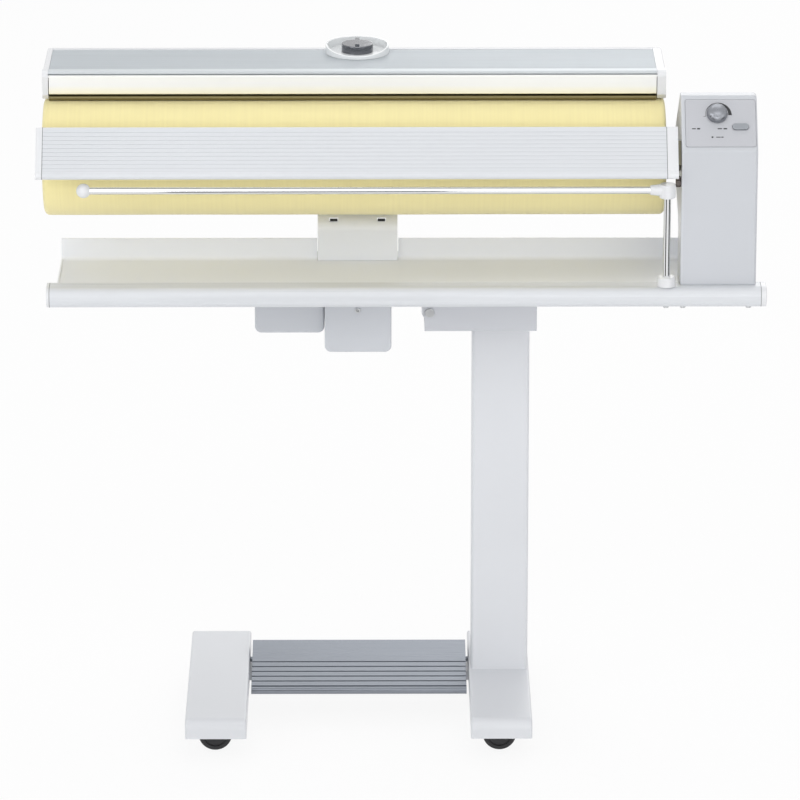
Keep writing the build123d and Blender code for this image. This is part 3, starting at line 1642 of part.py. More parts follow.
board_back = board_plate + seat_gap
bracket_low = board_length * bracket_low_share
flange_right = box_left - seat_gap
bracket_high = bracket_low + bracket_span
arm_depth = board_back + board_arm_round + 0.2
with BuildPart() as feed_board_brackets:
    with BuildSketch(Plane.YZ.offset(board_left)):
        with Locations((roller_y, roller_z)):
            Circle(board_arm_eye)
        with Locations(board_point(bracket_low, arm_depth), board_point(bracket_high, arm_depth)):
            Circle(board_arm_round)
        make_hull()
    extrude(amount=board_arm_sheet)
    low_y, low_z = board_point(bracket_low, board_back)
    with BuildSketch(Plane(origin=(0, low_y, low_z), x_dir=(1, 0, 0), z_dir=board_x_dir)):
        with Locations((board_left + board_cap_left + 3, bracket_fold / 2)):
            Rectangle(2 * board_cap_left, bracket_fold)
        with BuildLine():
            Polyline(
                (board_right - bracket_lap, 0),
                (flange_right, 0),
                (flange_right, bracket_leg),
                (flange_right - bracket_fold, bracket_leg),
                (flange_right - bracket_fold, bracket_fold),
                (board_right - bracket_lap, bracket_fold),
                close=True,
            )
        make_face()
    extrude(amount=bracket_span)
keep(feed_board_brackets, "feed_board_brackets")

with BuildPart() as profile_end_caps:
    for cap_x, cap_width in ((board_left, board_cap_left), (board_right - board_cap_right, board_cap_right)):
        extrude(board_plane(cap_x).location * board_section(False), amount=cap_width)
    extrude(Pos(front_rail_left, 0, 0) * rail_outer, amount=rail_cap_left)
    extrude(Pos(front_rail_right - rail_cap_right, 0, 0) * rail_outer, amount=rail_cap_right)
    rail_ends = [profile_end_caps.faces().sort_by(Axis.X)[-1]]
    fillet([edge for face in rail_ends for edge in face.edges()], end_cap_edge)
keep(profile_end_caps, "profile_end_caps")

# ================================================================ control box


def box_section(inset, wide_open):
    """Side outline of the control box, drawn in by a wall; open below if asked."""
    with BuildSketch(Plane.YZ) as section:
        with BuildLine():
            Polyline(
                (box_front_y, front_rail_top + seat_gap),
                (box_front_y, box_crease_z),
                (box_panel_top_y, box_top_z),
                (box_back_y, box_top_z),
                (roller_y + box_tail_top_reach, roller_z + box_tail_top_rise),
                (roller_y + box_tail_back_reach, roller_z + box_tail_middle_rise),
                (roller_y + box_tail_low_reach, roller_z - box_tail_low_drop),
                (roller_y + box_belly_reach, roller_z - box_belly_drop),
                (box_back_y + box_heel_run, box_heel_z + box_heel_rise),
                (box_back_y, box_heel_z),
                (box_back_y, tray_floor_z + seat_gap),
                (rail_back_y, tray_floor_z + seat_gap),
                (rail_back_y, front_rail_top + seat_gap),
                close=True,
            )
        make_face()
        if inset:
            offset(amount=-inset, mode=Mode.REPLACE)
        if wide_open:
            with Locations(((box_front_y + box_back_y) / 2, front_rail_top)):
                Rectangle(box_back_y - box_front_y - 2 * inset, 4 * front_rail_rise)
    return section.sketch


panel_slope = sqrt(panel_rise**2 + panel_run**2)
panel_normal = (0, -panel_rise / panel_slope, panel_run / panel_slope)


def panel_plane(x, shift, lift):
    """Plane on the sloped panel at a share of its slope, lifted off it."""
    y = box_front_y + shift * panel_run + lift * panel_normal[1]
    z = box_crease_z + shift * panel_rise + lift * panel_normal[2]
    return Plane(origin=(x, y, z), x_dir=(1, 0, 0), z_dir=panel_normal)


fascia_top = fascia_depth + seat_gap - fascia_recess
with BuildPart() as control_shell:
    extrude(Pos(shell_left, 0, 0) * box_section(0, False), amount=box_right - shell_left)
    rim = control_shell.faces().sort_by(Axis.X)[-1].edges()
    fillet([edge for edge in rim if edge.center().Z > front_rail_top + 10], box_edge)
    cross_edges = control_shell.edges().filter_by(Axis.X)
    panel_edges = [edge for edge in cross_edges if edge.center().Y < box_back_y + 1]
    fillet([edge for edge in panel_edges if edge.center().Z > box_crease_z - 1], box_panel_edge)
    extrude(
        Pos(shell_left - 1, 0, 0) * box_section(box_wall, True),
        amount=box_right - shell_left + 1 - box_wall,
        mode=Mode.SUBTRACT,
    )
    with BuildSketch(panel_plane(fascia_x, 0.5, -fascia_recess)):
        RectangleRounded(fascia_length + 2 * fascia_gap, fascia_height + 2 * fascia_gap, fascia_corner)
    extrude(amount=5, mode=Mode.SUBTRACT)
    with Locations(panel_plane(knob_x, knob_shift, 0).location):
        Cylinder(spindle_radius + run_gap, 20, mode=Mode.SUBTRACT)
    with BuildSketch(panel_plane(button_x, button_shift, 0)):
        Circle(button_stem + run_gap)
    extrude(amount=10, both=True, mode=Mode.SUBTRACT)
keep(control_shell, "control_shell")

with BuildPart() as control_side_cover:
    extrude(Pos(box_left, 0, 0) * box_section(0, False), amount=side_cover_depth)
    outer_rim = control_side_cover.faces().sort_by(Axis.X)[0].edges()
    fillet([edge for edge in outer_rim if edge.center().Z > front_rail_top + 10], side_cover_edge)
    rod_x(hub_radius + 4, box_left - 1, shell_left + 1, roller_y, roller_z, Mode.SUBTRACT)
keep(control_side_cover, "control_side_cover")

with BuildPart() as control_fascia:
    with BuildSketch(panel_plane(fascia_x, 0.5, seat_gap - fascia_recess)):
        RectangleRounded(fascia_length, fascia_height, fascia_corner)
    extrude(amount=fascia_depth)
    fillet(control_fascia.faces().sort_by(Axis.Z)[-1].edges(), fascia_edge)
    with BuildSketch(panel_plane(knob_x, knob_shift, 0)):
        Circle(spindle_radius + run_gap)
    extrude(amount=10, both=True, mode=Mode.SUBTRACT)
    with BuildSketch(panel_plane(button_x, button_shift, -fascia_recess)):
        SlotOverall(button_width + 1, button_depth + 1)
    extrude(amount=10, mode=Mode.SUBTRACT)
keep(control_fascia, "control_fascia")

with BuildPart() as control_dial:
    with BuildSketch(panel_plane(knob_x, knob_shift, fascia_top + part_gap)):
        Circle(knob_radius)
    extrude(amount=knob_height, taper=3)
    fillet(control_dial.faces().sort_by(Axis.Z)[-1].edges(), knob_edge)
    with BuildSketch(panel_plane(knob_x, knob_shift, fascia_top + part_gap + 1)):
        Circle(spindle_radius)
    extrude(amount=-spindle_length)
keep(control_dial, "control_dial")

with BuildPart() as power_button:
    button_low = button_travel + seat_gap - fascia_recess
    with BuildSketch(panel_plane(button_x, button_shift, button_low)):
        SlotOverall(button_width, button_depth)
    extrude(amount=fascia_top + button_proud - button_low)
    fillet(power_button.faces().sort_by(Axis.Z)[-1].edges(), button_edge)
    with BuildSketch(panel_plane(button_x, button_shift, button_low + 1)):
        Circle(button_stem)
    extrude(amount=-10)
keep(power_button, "power_button")

with BuildPart() as control_circuit:
    circuit_x = box_right - box_wall - circuit_standoff
    circuit_front_y = box_front_y + circuit_setback
    circuit_low_z = tray_floor_z + circuit_rise
    circuit_back_y = circuit_front_y + circuit_depth
    circuit_top_z = circuit_low_z + circuit_height
    board_face_x = circuit_x + circuit_board
    span_box(circuit_x, board_face_x, circuit_front_y, circuit_back_y, circuit_low_z, circuit_top_z)
    for y in (circuit_front_y + circuit_inset, circuit_back_y - circuit_inset):
        for z in (circuit_low_z + circuit_inset, circuit_top_z - circuit_inset):
            rod_x(circuit_post_radius, board_face_x, box_right - box_wall - run_gap, y, z)
    for along, rise, depth, height, reach in circuit_blocks:
        y = circuit_front_y + along
        z = circuit_low_z + rise
        span_box(circuit_x - reach, circuit_x, y, y + depth, z, z + height)
    capacitor_y = circuit_front_y + capacitor_place[0]
    capacitor_z = circuit_low_z + capacitor_place[1]
    rod_x(capacitor_radius, circuit_x - capacitor_length, circuit_x, capacitor_y, capacitor_z)
keep(control_circuit, "control_circuit")

# ================================================================ swinging laundry rail
with BuildPart() as rail_bush:
    bush_floor_z = front_rail_top + seat_gap
    rod_up(bush_radius, post_x, post_y, bush_floor_z, bush_floor_z + bush_height)
    fillet(rail_bush.edges().filter_by(GeomType.CIRCLE).group_by(Axis.Z)[-1], bush_edge)
    post_low_z = bush_floor_z + bush_floor
    rod_up(post_radius + run_gap, post_x, post_y, post_low_z, bush_floor_z + bush_height + 1, Mode.SUBTRACT)
keep(rail_bush, "rail_bush")

hub_low_z = rod_z - hub_height / 2 - 1
rod_right = post_x - rail_hub_radius + 1
with BuildPart() as rail_rods:
    rod_up(post_radius, post_x, post_y, post_low_z + seat_gap, hub_low_z + rod_bury)
    rod_x(rod_radius, rod_left, rod_right, post_y, rod_z)
keep(rail_rods, "rail_rods")

with BuildPart() as rail_fittings:
    rod_up(rail_hub_radius, post_x, post_y, hub_low_z, hub_low_z + hub_height)
    fillet(rail_fittings.edges().filter_by(GeomType.CIRCLE), hub_edge)
    nose_x = post_x - rail_hub_radius + 4 - hub_nose_length / 2
    with Locations(Location((nose_x, post_y, rod_z), (0, -90, 0))):
        Cone(hub_nose_radius, rod_radius + 1.5, hub_nose_length)
    hub_bore_top = hub_low_z + rod_bury + run_gap
    rod_up(post_radius + run_gap, post_x, post_y, hub_low_z - 1, hub_bore_top, Mode.SUBTRACT)
    with Locations(Location((rod_left, post_y, rod_z), (0, 90, 0))):
        Sphere(ball_radius)
    rod_x(rod_radius + run_gap, rod_left - run_gap, rod_right + run_gap, post_y, rod_z, Mode.SUBTRACT)
keep(rail_fittings, "rail_fittings")

# ================================================================ screws that show
with BuildPart() as unit_screws:
    for x in rail_screw_x:
        head_z = front_rail_bottom - seat_gap
        rod_up(screw_head_radius, x, post_y, head_z - screw_head_depth, head_z)
        rod_up(screw_radius, x, post_y, head_z - 1, head_z + screw_length)
    head_y = gear_cover_front_y - seat_gap
    rod_y(screw_head_radius - 1, support_x, head_y - screw_head_depth, head_y, screw_z)
    rod_y(screw_radius, support_x, head_y - 1, head_y + screw_length, screw_z)
keep(unit_screws, "unit_screws")
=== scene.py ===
import json
import math
import bmesh
import bpy
from mathutils import Matrix, Vector


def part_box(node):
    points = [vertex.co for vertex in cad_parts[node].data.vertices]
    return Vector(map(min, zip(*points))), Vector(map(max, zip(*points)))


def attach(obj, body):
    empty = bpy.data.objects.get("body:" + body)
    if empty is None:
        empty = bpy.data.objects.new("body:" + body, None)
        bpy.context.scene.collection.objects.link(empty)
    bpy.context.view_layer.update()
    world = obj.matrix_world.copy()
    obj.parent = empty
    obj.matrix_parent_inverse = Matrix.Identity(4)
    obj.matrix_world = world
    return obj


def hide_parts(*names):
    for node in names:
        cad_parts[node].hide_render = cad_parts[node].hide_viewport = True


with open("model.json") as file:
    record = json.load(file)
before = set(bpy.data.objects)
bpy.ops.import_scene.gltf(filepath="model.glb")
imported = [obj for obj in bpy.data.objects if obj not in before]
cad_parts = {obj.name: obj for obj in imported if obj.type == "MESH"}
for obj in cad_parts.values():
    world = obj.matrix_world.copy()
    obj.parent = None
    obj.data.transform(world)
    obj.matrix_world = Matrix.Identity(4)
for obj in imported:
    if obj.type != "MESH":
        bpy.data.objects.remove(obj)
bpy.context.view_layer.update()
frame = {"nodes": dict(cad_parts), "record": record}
nodes = frame["nodes"]
print("frame loaded:", len(nodes), "nodes")

# camera and light

# fitted to the photograph's edges without a lens shift, which would put other views out of the frame
cameraSettings = {
    "place": (-0.0391, -7.5636, 2.8658),
    "tiltDown": 17.639,
    "turn": -0.28,
    "lens": 259.48,
    "sensor": 36,
    "reach": 100,
}


def makeCamera(settings):
    data = bpy.data.cameras.new("camera")
    data.lens = settings["lens"]
    data.sensor_width = settings["sensor"]
    data.clip_end = settings["reach"]
    camera = bpy.data.objects.new("camera", data)
    camera.location = settings["place"]
    camera.rotation_euler = (math.radians(90 - settings["tiltDown"]), 0, math.radians(settings["turn"]))
    bpy.context.scene.collection.objects.link(camera)
    bpy.context.scene.camera = camera


studioSettings = {
    "lamps": {
        "keyLamp": {"place": (-3.8, -4.0, 3.2), "size": (3.0, 2.4), "power": 56},
        "frontLamp": {"place": (0.6, -4.4, 5.0), "size": (4.6, 2.6), "power": 44},
        "lowLamp": {"place": (0.2, -5.2, 1.15), "size": (4.4, 1.4), "power": 42},
        "fillLamp": {"place": (4.4, -4.2, 2.4), "size": (3.0, 3.0), "power": 22},
        "topLamp": {"place": (0.2, 1.2, 4.6), "size": (3.6, 2.6), "power": 34},
        "backLamp": {"place": (1.5, 5.2, 3.2), "size": (3.4, 2.6), "power": 40},
    },
    "aim": (0, 0, 0.55),
    "sky": {"low": 0.56, "high": 0.62, "from": -0.2, "to": 0.9},
    "felt": {"colour": (0.02, 0.02, 0.02, 1), "roughness": 0.9},
    "darkCards": {
        "leftCard": {"place": (-0.135, -0.886, 0.45), "size": (0.5, 0.6), "turn": (90, 0, -33)},
        "rightCard": {"place": (1.201, -0.439, 0.45), "size": (0.62, 0.6), "turn": (90, 0, 70)},
    },
}


def makeLamp(name, settings, aim):
    data = bpy.data.lights.new(name, "AREA")
    data.shape = "RECTANGLE"
    data.size = settings["size"][0]
    data.size_y = settings["size"][1]
    data.energy = settings["power"]
    lamp = bpy.data.objects.new(name, data)
    lamp.location = settings["place"]
    lamp.rotation_euler = (Vector(settings["place"]) - Vector(aim)).to_track_quat("Z", "Y").to_euler()
    lamp.visible_camera = False
    bpy.context.scene.collection.objects.link(lamp)


# one where the camera, a mirror or a clear piece looks at it
def seenDirectly(tree):
    paths = tree.nodes.new("ShaderNodeLightPath")
    seen = paths.outputs["Is Camera Ray"]
    for way in ("Is Glossy Ray", "Is Transmission Ray"):
        either = tree.nodes.new("ShaderNodeMath")
        either.operation = "MAXIMUM"
        tree.links.new(seen, either.inputs[0])
        tree.links.new(paths.outputs[way], either.inputs[1])
        seen = either.outputs["Value"]
    return seen


def makeSky(settings):
    world = bpy.data.worlds.new("studioSky")
    bpy.context.scene.world = world
    world.use_nodes = True
    tree = world.node_tree
    background = tree.nodes["Background"]
    coords = tree.nodes.new("ShaderNodeTexCoord")
    split = tree.nodes.new("ShaderNodeSeparateXYZ")
    height = tree.nodes.new("ShaderNodeMapRange")
    height.inputs["From Min"].default_value = settings["from"]
    height.inputs["From Max"].default_value = settings["to"]
    height.inputs["To Min"].default_value = settings["low"]
    height.inputs["To Max"].default_value = settings["high"]
    seen = seenDirectly(tree)
    pick = tree.nodes.new("ShaderNodeMix")
    pick.inputs["B"].default_value = 1.0  # what the camera and clear pieces see is white
    tree.links.new(coords.outputs["Generated"], split.inputs["Vector"])
    tree.links.new(split.outputs["Z"], height.inputs["Value"])
    tree.links.new(seen, pick.inputs["Factor"])
    tree.links.new(height.outputs["Result"], pick.inputs["A"])
    tree.links.new(pick.outputs["Result"], background.inputs["Strength"])
    background.inputs["Color"].default_value = (1, 1, 1, 1)


def plane(name, width, depth, place, turn=(0, 0, 0)):
    mesh = bpy.data.meshes.new(name)
    sheet = bmesh.new()
    bmesh.ops.create_grid(sheet, x_segments=1, y_segments=1, size=0.5)
    bmesh.ops.scale(sheet, vec=(width, depth, 1), verts=sheet.verts)
    sheet.to_mesh(mesh)
    sheet.free()
    thing = bpy.data.objects.new(name, mesh)
    thing.location = place
    thing.rotation_euler = turn
    bpy.context.scene.collection.objects.link(thing)
    return thing


floorSettings = {"size": 120.0, "colour": (0.93, 0.93, 0.935, 1), "whiteShare": 0.9}


def makeFloor(settings):
    floor = plane("floor", settings["size"], settings["size"], (0, 0, 0))
    material = bpy.data.materials.new("paleFloor")
    material.use_nodes = True
    tree = material.node_tree
    tree.nodes.clear()
    matte = tree.nodes.new("ShaderNodeBsdfDiffuse")
    matte.inputs["Color"].default_value = settings["colour"]
    glow = tree.nodes.new("ShaderNodeEmission")
    glow.inputs["Color"].default_value = (1, 1, 1, 1)
    seen = seenDirectly(tree)
    share = tree.nodes.new("ShaderNodeMath")
    share.operation = "MULTIPLY"
    share.inputs[1].default_value = settings["whiteShare"]
    mix = tree.nodes.new("ShaderNodeMixShader")
    output = tree.nodes.new("ShaderNodeOutputMaterial")
    tree.links.new(seen, share.inputs[0])
    tree.links.new(share.outputs["Value"], mix.inputs["Fac"])
    tree.links.new(matte.outputs["BSDF"], mix.inputs[1])
    tree.links.new(glow.outputs["Emission"], mix.inputs[2])
    tree.links.new(mix.outputs["Shader"], output.inputs["Surface"])
    floor.data.materials.append(material)


# seen only by mirrors, so that the chrome has something dark to show
def makeDarkCard(name, settings, felt):
    turn = [math.radians(part) for part in settings["turn"]]
    card = plane(name, *settings["size"], settings["place"], turn)
    material = bpy.data.materials.new(name + "Felt")
    material.use_nodes = True
    shader = material.node_tree.nodes["Principled BSDF"]
    shader.inputs["Base Color"].default_value = felt["colour"]
    shader.inputs["Roughness"].default_value = felt["roughness"]
    card.data.materials.append(material)
    card.visible_camera = False
    card.visible_diffuse = False
    card.visible_shadow = False


def makeStudio(settings):
    for name, lamp in settings["lamps"].items():
        makeLamp(name, lamp, settings["aim"])
    makeSky(settings["sky"])
    makeFloor(floorSettings)
    for name, card in settings["darkCards"].items():
        makeDarkCard(name, card, settings["felt"])
    bpy.context.scene.view_settings.view_transform = "Standard"


makeCamera(cameraSettings)
makeStudio(studioSettings)
print("studio ready")

# finishes: small helpers, then one function for each


def newFinish(name, colour, roughness, metallic=0.0, coat=0.0, coatRoughness=0.1):
    material = bpy.data.materials.new(name)
    material.use_nodes = True
    shader = material.node_tree.nodes["Principled BSDF"]
    shader.inputs["Base Color"].default_value = (*colour, 1)
    shader.inputs["Roughness"].default_value = roughness
    shader.inputs["Metallic"].default_value = metallic
    shader.inputs["Coat Weight"].default_value = coat
    shader.inputs["Coat Roughness"].default_value = coatRoughness
    return material, material.node_tree, shader


def spaceVector(tree, scale=(1, 1, 1), centre=(0, 0, 0), kind="Object"):
    coords = tree.nodes.new("ShaderNodeTexCoord")
    mapping = tree.nodes.new("ShaderNodeMapping")
    mapping.vector_type = "TEXTURE" if centre != (0, 0, 0) else "POINT"
    if centre != (0, 0, 0):
        mapping.inputs["Location"].default_value = centre
    else:
        mapping.inputs["Scale"].default_value = scale
    tree.links.new(coords.outputs[kind], mapping.inputs["Vector"])
    return mapping.outputs["Vector"]


def noiseValue(tree, vector, scale, detail=2.0):
    noise = tree.nodes.new("ShaderNodeTexNoise")
    noise.inputs["Scale"].default_value = scale
    noise.inputs["Detail"].default_value = detail
    tree.links.new(vector, noise.inputs["Vector"])
    return noise.outputs["Fac"]


def bandValue(tree, vector, axis, scale, distortion=0.0):
    wave = tree.nodes.new("ShaderNodeTexWave")
    wave.bands_direction = axis
    wave.inputs["Scale"].default_value = scale
    wave.inputs["Distortion"].default_value = distortion
    tree.links.new(vector, wave.inputs["Vector"])
    return wave.outputs["Fac"]


def mathValue(tree, operation, first, second):
    step = tree.nodes.new("ShaderNodeMath")
    step.operation = operation
    for socket, value in zip(step.inputs, (first, second)):
        if isinstance(value, (int, float)):
            socket.default_value = value
        else:
            tree.links.new(value, socket)
    return step.outputs["Value"]


def rangeValue(tree, value, low, high, outLow, outHigh):
    spread = tree.nodes.new("ShaderNodeMapRange")
    for name, number in (("From Min", low), ("From Max", high), ("To Min", outLow), ("To Max", outHigh)):
        spread.inputs[name].default_value = number
    tree.links.new(value, spread.inputs["Value"])
    return spread.outputs["Result"]


# spreads the middle of a noise, where most of its values lie, over a range
def evened(tree, noise, outLow=0, outHigh=1):
    return rangeValue(tree, noise, 0.3, 0.7, outLow, outHigh)


def blended(tree, first, second, share):
    rest = mathValue(tree, "MULTIPLY", second, 1 - share)
    return mathValue(tree, "ADD", mathValue(tree, "MULTIPLY", first, share), rest)


def tint(tree, shader, value, dark, light):
    mix = tree.nodes.new("ShaderNodeMix")
    mix.data_type = "RGBA"
    mix.inputs["A"].default_value = (*dark, 1)
    mix.inputs["B"].default_value = (*light, 1)
    tree.links.new(value, mix.inputs["Factor"])
    tree.links.new(mix.outputs["Result"], shader.inputs["Base Color"])


def relief(tree, shader, value, distance, strength=1.0):
    bump = tree.nodes.new("ShaderNodeBump")
    bump.inputs["Distance"].default_value = distance
    bump.inputs["Strength"].default_value = strength
    tree.links.new(value, bump.inputs["Height"])
    tree.links.new(bump.outputs["Normal"], shader.inputs["Normal"])


def shades(colour, spread):
    return [part * (1 - spread) for part in colour], [min(1.0, part * (1 + spread)) for part in colour]


def powderCoat(name, colour):
    material, tree, shader = newFinish(name, colour, 0.36, coat=0.25, coatRoughness=0.2)
    broad = noiseValue(tree, spaceVector(tree), 6.0)
    peel = noiseValue(tree, spaceVector(tree), 950.0, 1.0)
    tint(tree, shader, evened(tree, broad), *shades(colour, 0.012))
    tree.links.new(evened(tree, broad, 0.31, 0.4), shader.inputs["Roughness"])
    relief(tree, shader, peel, 0.00012, 0.35)
    return material


def coatedExtrusion(name, colour):
    material, tree, shader = newFinish(name, colour, 0.3, coat=0.35, coatRoughness=0.12)
    lines = noiseValue(tree, spaceVector(tree, (2, 420, 420)), 1.0, 3.0)  # faint die lines along X
    broad = noiseValue(tree, spaceVector(tree), 5.0)
    tint(tree, shader, evened(tree, broad), *shades(colour, 0.01))
    tree.links.new(evened(tree, lines, 0.27, 0.36), shader.inputs["Roughness"])
    relief(tree, shader, lines, 0.00006, 0.4)
    return material


def anodised(name, colour, roughness, metallic):
    material, tree, shader = newFinish(name, colour, roughness, metallic)
    lines = noiseValue(tree, spaceVector(tree, (5, 1500, 1500)), 1.0, 2.0)
    broad = noiseValue(tree, spaceVector(tree, (1, 8, 8)), 2.0)
    both = blended(tree, lines, broad, 0.6)
    tint(tree, shader, rangeValue(tree, both, 0.35, 0.65, 0, 1), *shades(colour, 0.05))
    tree.links.new(evened(tree, lines, roughness - 0.06, roughness + 0.08), shader.inputs["Roughness"])
    relief(tree, shader, lines, 0.00004, 0.5)
    return material


def plated(name, colour, roughness):
    material, tree, shader = newFinish(name, colour, roughness, 1.0)
    clouds = noiseValue(tree, spaceVector(tree), 60.0, 4.0)
    grains = noiseValue(tree, spaceVector(tree), 1400.0, 1.0)
    tint(tree, shader, evened(tree, clouds), *shades(colour, 0.08))
    tree.links.new(evened(tree, clouds, roughness - 0.06, roughness + 0.1), shader.inputs["Roughness"])
    relief(tree, shader, grains, 0.00003, 0.4)
    return material


def chromed(name, colour):
    material, tree, shader = newFinish(name, colour, 0.07, 1.0)
    marks = noiseValue(tree, spaceVector(tree), 240.0, 3.0)
    tree.links.new(rangeValue(tree, marks, 0.35, 0.75, 0.05, 0.13), shader.inputs["Roughness"])
    return material


def moulded(name, colour, roughness, grain, coat=0.0):
    material, tree, shader = newFinish(name, colour, roughness, coat=coat)
    broad = noiseValue(tree, spaceVector(tree), 14.0)
    fine = noiseValue(tree, spaceVector(tree), 1700.0, 1.0)
    tint(tree, shader, evened(tree, broad), *shades(colour, 0.015))
    tree.links.new(evened(tree, fine, roughness - 0.04, roughness + 0.06), shader.inputs["Roughness"])
    relief(tree, shader, fine, grain, 0.5)
    return material


def wovenCloth(name, colour):
    material, tree, shader = newFinish(name, colour, 0.92)
    shader.inputs["Sheen Weight"].default_value = 0.35
    shader.inputs["Sheen Roughness"].default_value = 0.5
    surface = spaceVector(tree, kind="UV")
    warp = bandValue(tree, surface, "X", 390.0, 0.6)
    weft = bandValue(tree, surface, "Y", 390.0, 0.6)
    weave = mathValue(tree, "MAXIMUM", warp, weft)
    slub = noiseValue(tree, spaceVector(tree, (6, 260, 1), kind="UV"), 1.0, 3.0)
    broad = noiseValue(tree, spaceVector(tree, (2, 5, 1), kind="UV"), 1.0)
    mixed = blended(tree, slub, broad, 0.5)
    tint(tree, shader, rangeValue(tree, mixed, 0.35, 0.65, 0, 1), *shades(colour, 0.03))
    height = mathValue(tree, "ADD", weave, mathValue(tree, "MULTIPLY", slub, 0.6))
    relief(tree, shader, height, 0.00025, 0.6)
    return material


def turnedSilver(name, colour, centre):
    material, tree, shader = newFinish(name, colour, 0.3, 0.85)
    rings = tree.nodes.new("ShaderNodeTexWave")
    rings.wave_type = "RINGS"
    rings.rings_direction = "SPHERICAL"
    rings.inputs["Scale"].default_value = 700.0
    tree.links.new(spaceVector(tree, centre=centre), rings.inputs["Vector"])
    tree.links.new(rangeValue(tree, rings.outputs["Fac"], 0, 1, 0.24, 0.34), shader.inputs["Roughness"])
    relief(tree, shader, rings.outputs["Fac"], 0.00002, 0.5)
    return material


def circuitBoard(name, colour):
    material, tree, shader = newFinish(name, colour, 0.4, coat=0.6)
    tracks = tree.nodes.new("ShaderNodeTexVoronoi")
    tracks.feature = "DISTANCE_TO_EDGE"
    tracks.inputs["Scale"].default_value = 160.0
    tree.links.new(spaceVector(tree), tracks.inputs["Vector"])
    edge = rangeValue(tree, tracks.outputs["Distance"], 0.0, 0.12, 0, 1)
    tint(tree, shader, edge, (0.16, 0.36, 0.14), colour)
    return material


knobLow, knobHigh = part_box("control_dial")
knobMiddle = tuple((Vector(knobLow) + Vector(knobHigh)) / 2)
finishes = {
    "white_coat": powderCoat("whitePowderCoat", (0.70, 0.715, 0.745)),
    "white_aluminium": coatedExtrusion("whiteCoatedExtrusion", (0.69, 0.71, 0.74)),
    "grey_aluminium": anodised("silverAnodised", (0.25, 0.27, 0.305), 0.32, 0.7),
    "bare_aluminium": anodised("polishedShoe", (0.78, 0.78, 0.79), 0.2, 1.0),
    "zinc": plated("zincPlate", (0.62, 0.63, 0.64), 0.36),
    "dark_steel": plated("heaterSheath", (0.16, 0.14, 0.13), 0.5),
    "spring_steel": plated("springWire", (0.42, 0.42, 0.44), 0.3),
    "motor_steel": moulded("motorPaint", (0.07, 0.075, 0.08), 0.45, 0.00005),
    "cast_metal": plated("castMetal", (0.5, 0.5, 0.51), 0.5),
    "gear_steel": plated("gearSteel", (0.45, 0.45, 0.47), 0.28),
    "gear_plastic": moulded("gearNylon", (0.78, 0.74, 0.63), 0.45, 0.00004),
    "light_plastic": moulded("lightMoulding", (0.63, 0.645, 0.675), 0.42, 0.00008),
    "white_plastic": moulded("whiteMoulding", (0.77, 0.78, 0.80), 0.3, 0.00003, coat=0.3),
    "grey_plastic": moulded("greyMoulding", (0.33, 0.35, 0.38), 0.45, 0.00004),
    "black_plastic": moulded("blackMoulding", (0.012, 0.012, 0.014), 0.4, 0.00006),
    "tank_plastic": moulded("tankMoulding", (0.72, 0.74, 0.76), 0.4, 0.00004),
    "roller_cloth": wovenCloth("creamCloth", (0.98, 0.87, 0.44)),
    "chrome_cap": chromed("chromeCap", (0.72, 0.73, 0.75)),
    "chrome_rod": chromed("chromeRod", (0.78, 0.79, 0.80)),
    "silver_knob": turnedSilver("silverKnob", (0.27, 0.28, 0.305), knobMiddle),
    "circuit": circuitBoard("circuitVarnish", (0.03, 0.13, 0.05)),
}


# the guard's face, with a painted reflection of the cream cloth: creamier towards its low edge, which stands
# over the cloth
def guardCoatPaintedReflection(name, colour, reflectionTint, low, high):
    material, tree, shader = newFinish(name, colour, 0.28, coat=0.4, coatRoughness=0.1)
    split = tree.nodes.new("ShaderNodeSeparateXYZ")
    tree.links.new(spaceVector(tree), split.inputs["Vector"])
    grain = mathValue(tree, "MULTIPLY", noiseValue(tree, spaceVector(tree, (3, 400, 400)), 1.0), 0.2)
    # painted reflection: the colour fades from the cream cloth tint at the low edge up to white over the
    # band's height
    rise = mathValue(tree, "MULTIPLY", rangeValue(tree, split.outputs["Z"], low, high, 0, 1), 0.85)
    tint(tree, shader, mathValue(tree, "ADD", rise, grain), reflectionTint, colour)
    return material


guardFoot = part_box("finger_guard")[0][2]
reflectionHeight = 0.012
# pieces whose tone departs from the rest of their slot; on the tray, the shoe's bracket, the guard and the
# shoe plate that tone is painted light and shade
ownFinish = {
    "cover_top": anodised("coverTopAnodised", (0.59, 0.625, 0.65), 0.38, 0.4),
    "control_shell": powderCoat("boxPowderCoat", (0.57, 0.59, 0.625)),
    "control_side_cover": powderCoat("sideCoverPowderCoat", (0.60, 0.62, 0.655)),
    "control_fascia": moulded("fasciaMoulding", (0.52, 0.53, 0.565), 0.3, 0.00003, coat=0.3),
    # painted light: the tray and the shoe's bracket are lighter than the other white paint, standing in for
    # light under the roller
    "tray": powderCoat("trayPowderCoatPaintedLight", (0.86, 0.88, 0.93)),
    "support_bracket": powderCoat("bracketPowderCoatPaintedLight", (0.84, 0.86, 0.90)),
    "press_motor_cover": powderCoat("motorCoverCoat", (0.58, 0.60, 0.635)),
    "press_gear_cover": powderCoat("gearCoverCoat", (0.60, 0.62, 0.655)),
    "fold_bracket": powderCoat("foldBracketCoat", (0.61, 0.625, 0.66)),
    "finger_guard": guardCoatPaintedReflection(
        "guardCoatPaintedReflection", (0.9, 0.91, 0.91), (0.95, 0.90, 0.66), guardFoot, guardFoot + reflectionHeight
    ),
    # painted shade: the shoe plate's dark olive stands in for the shadowed gap between the cover and the
    # cloth
    "shoe_plate": anodised("shoeEdgePaintedShade", (0.20, 0.17, 0.08), 0.4, 0.8),
    "feed_board_brackets": plated("boardBracketSteel", (0.20, 0.19, 0.14), 0.42),
    "filler_collar": moulded("collarMoulding", (0.86, 0.88, 0.89), 0.22, 0.00003, coat=0.5),
    "filler_cap": chromed("capChrome", (0.17, 0.175, 0.19)),
}


